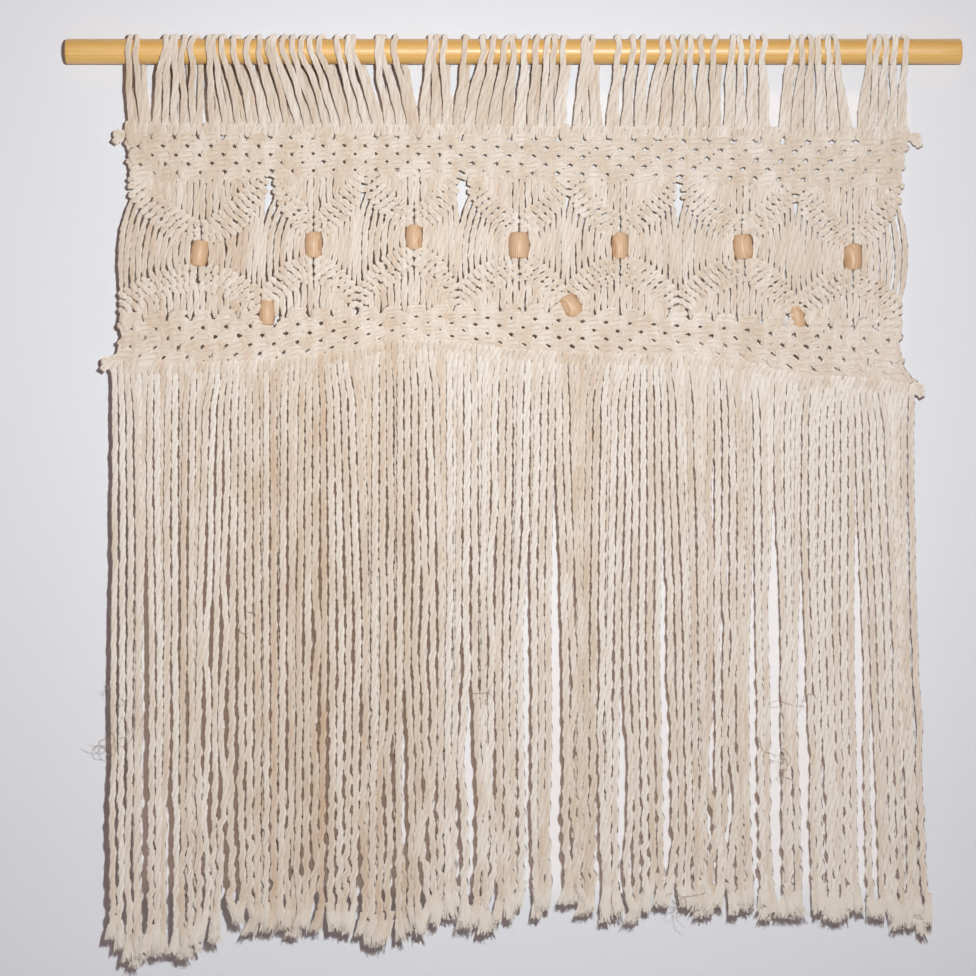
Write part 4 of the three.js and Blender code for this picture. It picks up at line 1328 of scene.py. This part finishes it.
fringe_y = layer * layering + fringe_wave(*DEPTH_WAVE) * depth_share
fringe_y = fringe_y + fringe_wave(*FRINGE_CRIMP) * crimp
fringe_paths = np.stack([fringe_x, fringe_y, -fringe_drop], -1)
fringe_thick = FRINGE_RADIUS * fringe_draw.uniform(*FRINGE_THICKNESS, (STRANDS, 1))
fringe_thick = fringe_thick * (1 + FRINGE_SWELL * way**2)
thick_share = THICKNESS_AT_ROOT + (1 - THICKNESS_AT_ROOT) * way
fringe_thick = fringe_thick * (1 + fringe_wave(*THICKNESS_WAVE) * thick_share)
fringe_plump = PLY_DEPTH + FRINGE_PLUMP * way**3 * fringe_draw.uniform(*PLUMP_SHARES, (STRANDS, 1))
fringe_tone = FRINGE_TONE + FRINGE_END_TONE * way + yellowing(root_x) + FRINGE_TAN * tan_on_left(root_x)
fringe_tone = fringe_tone + fringe_draw.normal(0, FRINGE_UNEVEN_TONE, (STRANDS, 1))
fringe_tone = fringe_tone + fringe_wave(*TONE_WAVE)
for name, strands in (("left", slice(0, STRANDS // 2)), ("right", slice(STRANDS // 2, STRANDS))):
    half = twisted(
        fringe_paths[strands],
        fringe_thick[strands],
        (0, 1, 0),
        fringe_tone[strands],
        plump=fringe_plump[strands],
    )
    add_piece(f"fringe_{name}_half", half, cotton_cord, "cotton_cord", "fringe")

# The frayed ends: each cord is cut, untwisted for a finger's width and combed out into a brush of its
# own yarns, which spread and curl a little. Under the loose yarns the brush is one soft mass.
BRUSH_ROOT = 9
BRUSH_RINGS = 7
BRUSH_SIDES = 16
BRUSH_BODY = 0.85
BRUSH_CLOSING = 0.55
BRUSH_CLOSING_LATE = 6
BRUSH_HALF_WIDTH = 7.4
BRUSH_HALF_DEPTH = 4.4
BRUSH_RAGGED = 2.0
BRUSH_RAGGED_LATE = 4
TIP_STATIONS = 3
BRUSH_RIDGES = 0.1
BRUSH_LEAN_ASIDE = 0.2
BRUSH_LEAN_FORWARD = 0.14
BRUSH_FULLNESS = (0.7, 1.25)
BRUSH_LENGTHS = (0.65, 1.0)
BRUSH_OPENING = 1.9
BRUSH_WIDEST = 1.1
BRUSH_ROOT_THINNER = 0.96
BRUSH_STREAK_STEP = 0.37
# The frayed ends are paler: untwisted cotton is whiter, and the paler tone is also painted light that offsets
# the shade on the thin loose yarns.
BRUSH_PALER_AND_LIT = 0.3
BRUSH_RELIEF = 0.5
BRUSH_RELIEF_DEPTH = 0.0006
# Painted shade in the brushes: a darker colour laid into the low streaks of their relief.
STREAK_SHADE_COLOUR = srgb(206, 182, 152)
STREAK_STRETCH = (26.0, 0.1, 1.0)
STREAK_EDGE = (0.35, 0.65)
STREAK_SHADE_SHARE = 0.2
LOOSE_YARNS = 46
YARN_RADIUS = 0.5
YARN_TAPER = 0.6
YARN_STATIONS = 4
YARN_FACE = 1 / 12
YARN_SIDES = 3
YARN_AWAY = (0.3, 1.25)
YARN_LENGTHS = (0.75, 1.1)
YARN_WANDER = 0.8
YARN_WAVE = 26
YARN_UNEVEN_TONE = 0.08
brush_draw = np.random.default_rng(144)

cotton_brush, tree = new_material("cotton_brush")
brush_colour = use_group(tree, cotton_tone, {}).outputs["Color"]
brush_place = add_node(tree, "UVMap", {}, uv_map="cord").outputs["UV"]
streaks = noise(tree, stretched(tree, brush_place, STREAK_STRETCH), 1.0, 3.0)
streak = reach(tree, streaks, *STREAK_EDGE)
# Painted shade: the darker colour is mixed in where the streaks of the relief sink.
streak_shade_share = reach(tree, streak, 0, 1, STREAK_SHADE_SHARE, 0)
brush_finish = {
    "Base Color": mix_colour(tree, streak_shade_share, brush_colour, STREAK_SHADE_COLOUR),
    "Roughness": 0.95,
    "Diffuse Roughness": 1.0,
    "Specular IOR Level": 0.1,
    "Sheen Weight": 0.15,
    "Sheen Roughness": 0.5,
}
add_surface(tree, brush_finish, streak, BRUSH_RELIEF, BRUSH_RELIEF_DEPTH)

cord_tips = fringe_paths[:, -1]
tip_ahead = fringe_paths[:, -1] - fringe_paths[:, -1 - TIP_STATIONS]
tip_ahead /= np.linalg.norm(tip_ahead, axis=1, keepdims=True)
tip_ahead[:, 0] += brush_draw.normal(0, BRUSH_LEAN_ASIDE, STRANDS)
tip_ahead[:, 1] = brush_draw.normal(0, BRUSH_LEAN_FORWARD, STRANDS)
fullness = brush_draw.uniform(*BRUSH_FULLNESS, STRANDS)
brush_lengths = BRUSH_LENGTH * brush_draw.uniform(*BRUSH_LENGTHS, STRANDS)


def brush_spread(owner, run):
    """Half width and half depth of a strand's brush, at distances past the end of its twist."""
    run_share = (run + BRUSH_ROOT) / (BRUSH_LENGTH + BRUSH_ROOT)
    opening = np.clip(run_share, 0, BRUSH_WIDEST) ** BRUSH_OPENING
    root = fringe_thick[owner, -1][:, None] * BRUSH_ROOT_THINNER
    half_width = root + (BRUSH_HALF_WIDTH * fullness[owner][:, None] - root) * opening
    half_depth = root + (BRUSH_HALF_DEPTH - root) * opening
    return half_width, half_depth


def brush_middle(owner, run):
    """Middle of a strand's brush, at distances past the end of its twist."""
    x = cord_tips[owner, 0][:, None] + tip_ahead[owner, 0][:, None] * run
    y = cord_tips[owner, 1][:, None] + tip_ahead[owner, 1][:, None] * run
    return np.stack([x, y, cord_tips[owner, 2][:, None] - run], -1)


every = np.arange(STRANDS)
ring_step = np.linspace(0, 1, BRUSH_RINGS)[None, :]
brush_run = ring_step * (BRUSH_BODY * brush_lengths[:, None] + BRUSH_ROOT) - BRUSH_ROOT
bell_width, bell_depth = brush_spread(every, brush_run)
bearing = TURN * np.arange(BRUSH_SIDES) / BRUSH_SIDES
ridges = 1 + brush_draw.normal(0, BRUSH_RIDGES, (STRANDS, 1, BRUSH_SIDES)) * ring_step[..., None]
ragged = brush_draw.normal(0, BRUSH_RAGGED, (STRANDS, 1, BRUSH_SIDES))
ragged = ragged * ring_step[..., None] ** BRUSH_RAGGED_LATE
bells = np.repeat(brush_middle(every, brush_run)[:, :, None], BRUSH_SIDES, 2)
closing = 1 - BRUSH_CLOSING * ring_step[..., None] ** BRUSH_CLOSING_LATE
bells[..., 0] -= bell_width[..., None] * closing * ridges * np.cos(bearing)
bells[..., 1] += bell_depth[..., None] * closing * ridges * np.sin(bearing)
bells[..., 2] += ragged
bell_corners, bell_sizes = tube_faces(STRANDS, BRUSH_RINGS, BRUSH_SIDES)
bell_side = np.broadcast_to(np.arange(BRUSH_SIDES) / BRUSH_SIDES, bells.shape[:3])
bell_side = bell_side + every[:, None, None] * BRUSH_STREAK_STEP
bell_run = np.broadcast_to(brush_run[..., None], bells.shape[:3])
bell_turns = np.stack([bell_side, bell_run], -1)
bell_tone = fringe_tone[:, -1][:, None, None] - BRUSH_PALER_AND_LIT * ring_step[..., None]
bell_tone = np.broadcast_to(bell_tone, bells.shape[:3])
brush_bells = {
    "points": bells.reshape(-1, 3),
    "corners": bell_corners,
    "sizes": bell_sizes,
    "turns": bell_turns.reshape(-1, 2)[bell_corners],
    "tone": bell_tone.reshape(-1),
}
add_piece("frayed_brushes", brush_bells, cotton_brush, "cotton_cord", "fringe")

owner = np.repeat(every, LOOSE_YARNS)
yarns = len(owner)
inside = np.sqrt(brush_draw.uniform(*YARN_AWAY, yarns))
yarn_bearing = brush_draw.uniform(0, TURN, yarns)
yarn_length = brush_lengths[owner] * brush_draw.uniform(*YARN_LENGTHS, yarns)
yarn_run = yarn_length[:, None] * np.linspace(0, 1, YARN_STATIONS)
yarn_width, yarn_depth = brush_spread(owner, yarn_run)
yarn_paths = brush_middle(owner, yarn_run)
yarn_paths[..., 0] += (inside * np.cos(yarn_bearing))[:, None] * yarn_width
yarn_paths[..., 0] += wander(brush_draw, yarn_run, yarns, YARN_WANDER, YARN_WAVE)
yarn_paths[..., 1] += (inside * np.sin(yarn_bearing))[:, None] * yarn_depth
# Painted light in part: the loose yarns take the brush's paler tone, which offsets the shade that falls on
# such thin yarns.
yarn_tone = fringe_tone[owner, -1] + brush_draw.normal(-BRUSH_PALER_AND_LIT, YARN_UNEVEN_TONE, yarns)
taper = np.linspace(1, YARN_TAPER, YARN_STATIONS)
loose_yarns = twisted(
    yarn_paths, YARN_RADIUS * taper, (0, 1, 0), yarn_tone, sides=YARN_SIDES, lay=math.inf, start=YARN_FACE
)
yarn_piece = add_piece("loose_yarns", loose_yarns, cotton_brush, "cotton_cord", "fringe")
yarn_piece.data.shade_flat()

# Stray fibres: fine hairs of cotton that have worked loose from the cords of the fringe, a few of them in
# small tangles. Nothing but friction holds them on.
TANGLE_COLUMNS = ("x", "drop", "hairs", "length")
TANGLE_ROWS = [
    (-405, 690, 7, 34),
    (-399, 642, 2, 26),
    (266, 715, 6, 30),
    (290, 655, 3, 26),
    (160, 850, 6, 30),
    (-262, 560, 3, 24),
    (-20, 640, 3, 24),
]
HAIR_RADIUS = 0.24
HAIR_STATIONS = 12
HAIR_FORWARD = (3.6, 4.8)
HAIR_CURL = 0.35
HAIR_KINK = 0.3
HAIR_LENGTHS = (0.6, 1.2)
HAIR_ASIDE = 3
HAIR_UP_DOWN = 4
# Painted shade: the hairs' darker tone stands in for the shade they lie in.
HAIR_SHADE_TONE = (0.5, 0.9)
hair_draw = np.random.default_rng(233)
hair_bow = np.sin(np.linspace(0, math.pi, HAIR_STATIONS))
hair_paths = []
for tangle in table(TANGLE_COLUMNS, TANGLE_ROWS):
    hairs = tangle["hairs"]
    bearing = hair_draw.uniform(0, TURN, (hairs, 1))
    curl = hair_draw.normal(0, HAIR_CURL, (hairs, 1)) + hair_draw.normal(0, HAIR_KINK, (hairs, HAIR_STATIONS))
    bearing = bearing + np.cumsum(curl, 1)
    stride = tangle["length"] / HAIR_STATIONS * hair_draw.uniform(*HAIR_LENGTHS, (hairs, 1))
    hair_x = tangle["x"] + hair_draw.normal(0, HAIR_ASIDE, (hairs, 1))
    hair_x = hair_x + np.cumsum(stride * np.cos(bearing), 1)
    hair_z = -tangle["drop"] + hair_draw.normal(0, HAIR_UP_DOWN, (hairs, 1))
    hair_z = hair_z + np.cumsum(stride * np.sin(bearing), 1)
    hair_y = -(HAIR_FORWARD[0] + HAIR_FORWARD[1] * hair_bow) + 0 * hair_x
    hair_paths.append(np.stack([hair_x, hair_y, hair_z], -1))
hair_paths = np.concatenate(hair_paths)
# Painted shade: each hair's darker tone stands in for the shade it lies in.
hair_shade_tone = hair_draw.uniform(*HAIR_SHADE_TONE, len(hair_paths))
stray_fibres = twisted(hair_paths, HAIR_RADIUS, (0, 1, 0), hair_shade_tone, sides=YARN_SIDES)
add_piece("stray_fibres", stray_fibres, cotton_brush, "cotton_cord", "fringe")

# The stage: a pale wall just behind the curtain, which can be looked through from behind and has a faint
# glow painted into it, an emission that stands in for the light that comes through the cotton, a pale floor,
# a lamp at the front right, a broad one behind and an even fill.
WALL_Y = 18 * MM
WALL_TILT = math.radians(1.9)
FLOOR_Z = -1.6
# Painted glow on the wall: its colour, how far it reaches to the sides, and its bands down the wall.
GLOW_COLOUR = (0.11, 0.072, 0.048, 1.0)
GLOW_SIDES = [(-0.392, -0.372), (0.405, 0.385)]
GLOW_COLUMNS = ("strength", "below", "bottom", "top", "above")
GLOW_ROWS = [
    (2.2, -0.085, -0.075, -0.06, -0.03),
    (0.5, -0.36, -0.31, -0.085, -0.075),
    (1.0, -0.86, -0.83, -0.36, -0.31),
]
GLOW_BANDS = table(GLOW_COLUMNS, GLOW_ROWS)
STAGE_SIZE = 8
FRONT_LAMP_PLACE = (0.13, -2.2, -0.216)
FRONT_LAMP_AIM = (-0.12, 0, -0.25)
FRONT_LAMP_SIZE = 0.06
FRONT_LAMP_POWER = 16.0
FRONT_LAMP_SPREAD = math.radians(109)
FRONT_LAMP_COLOUR = (0.92, 0.98, 1.0)
BACK_LAMP_PLACE = (-1.2, 3.0, 0.6)
BACK_LAMP_AIM = (0, 0, 0)
BACK_LAMP_SIZE = 2.0
BACK_LAMP_POWER = 60
FILL_COLOUR = (1.0, 0.64, 0.56, 1.0)
FILL_STRENGTH = 0.165
CAMERA_PLACE = (-0.0255, -3, -0.4365)
VIEW_WIDTH = 0.976


def add_stage_sheet(name, place, turn, material):
    """Large flat sheet of the stage."""
    half = STAGE_SIZE / 2
    corners = [(-half, -half, 0), (half, -half, 0), (half, half, 0), (-half, half, 0)]
    mesh = bpy.data.meshes.new(name)
    mesh.from_pydata(corners, [], [(0, 1, 2, 3)])
    mesh.materials.append(material)
    sheet = bpy.data.objects.new(name, mesh)
    sheet.location = place
    sheet.rotation_euler = turn
    bpy.context.scene.collection.objects.link(sheet)


def add_lamp(name, place, aim, size, power):
    """Area lamp of the stage at a place, aimed at another."""
    light = bpy.data.lights.new(name, "AREA")
    light.size = size
    light.energy = power
    lamp = bpy.data.objects.new(name, light)
    lamp.location = place
    lamp.rotation_euler = (lamp.location - Vector(aim)).to_track_quat("Z", "Y").to_euler()
    bpy.context.scene.collection.objects.link(lamp)
    return light


wall_paint, tree = new_material("wall_paint")
facing = add_node(tree, "NewGeometry", {})
spot = add_node(tree, "SeparateXYZ", {"Vector": facing.outputs["Position"]})
# Painted glow: emission in bands down the wall behind the curtain, faded out at its sides.
glow = 0.0
for band in GLOW_BANDS:
    over = reach(tree, spot.outputs["Z"], band["below"], band["bottom"], 0.0, band["strength"])
    under = reach(tree, spot.outputs["Z"], band["above"], band["top"])
    glow = calc(tree, "MULTIPLY_ADD", over, under, glow)
for outside, inside in GLOW_SIDES:
    glow = calc(tree, "MULTIPLY", glow, reach(tree, spot.outputs["X"], outside, inside))
paint = add_node(
    tree,
    "BsdfPrincipled",
    {
        "Base Color": srgb(232, 232, 236),
        "Roughness": 0.9,
        "Emission Color": mix_colour(tree, glow, (0.0, 0.0, 0.0, 1.0), GLOW_COLOUR),
        "Emission Strength": 1.0,
    },
)
see_through = add_node(tree, "BsdfTransparent", {})
one_way = add_node(
    tree,
    "MixShader",
    {0: facing.outputs["Backfacing"], 1: paint.outputs["BSDF"], 2: see_through.outputs["BSDF"]},
)
add_node(tree, "OutputMaterial", {"Surface": one_way.outputs["Shader"]})
floor_paint, tree = new_material("floor_paint")
floor_surface = add_node(tree, "BsdfPrincipled", {"Base Color": srgb(226, 226, 230), "Roughness": 0.9})
add_node(tree, "OutputMaterial", {"Surface": floor_surface.outputs["BSDF"]})
add_stage_sheet("wall", (0, WALL_Y, 0), (math.pi / 2 + WALL_TILT, 0, 0), wall_paint)
add_stage_sheet("floor", (0, 0, FLOOR_Z), (0, 0, 0), floor_paint)

front_light = add_lamp("front_lamp", FRONT_LAMP_PLACE, FRONT_LAMP_AIM, FRONT_LAMP_SIZE, FRONT_LAMP_POWER)
front_light.shape = "DISK"
front_light.spread = FRONT_LAMP_SPREAD
front_light.color = FRONT_LAMP_COLOUR
add_lamp("back_lamp", BACK_LAMP_PLACE, BACK_LAMP_AIM, BACK_LAMP_SIZE, BACK_LAMP_POWER)

fill = bpy.data.worlds.new("even_fill")
fill.use_nodes = True
background = fill.node_tree.nodes["Background"]
background.inputs["Color"].default_value = FILL_COLOUR
background.inputs["Strength"].default_value = FILL_STRENGTH
bpy.context.scene.world = fill
bpy.context.scene.view_settings.view_transform = "Standard"

camera_data = bpy.data.cameras.new("front_camera")
camera_data.sensor_width = 36
camera_data.lens = camera_data.sensor_width * -CAMERA_PLACE[1] / VIEW_WIDTH
camera = bpy.data.objects.new("front_camera", camera_data)
camera.location = CAMERA_PLACE
camera.rotation_euler = (math.pi / 2, 0, 0)
bpy.context.scene.collection.objects.link(camera)
bpy.context.scene.camera = camera
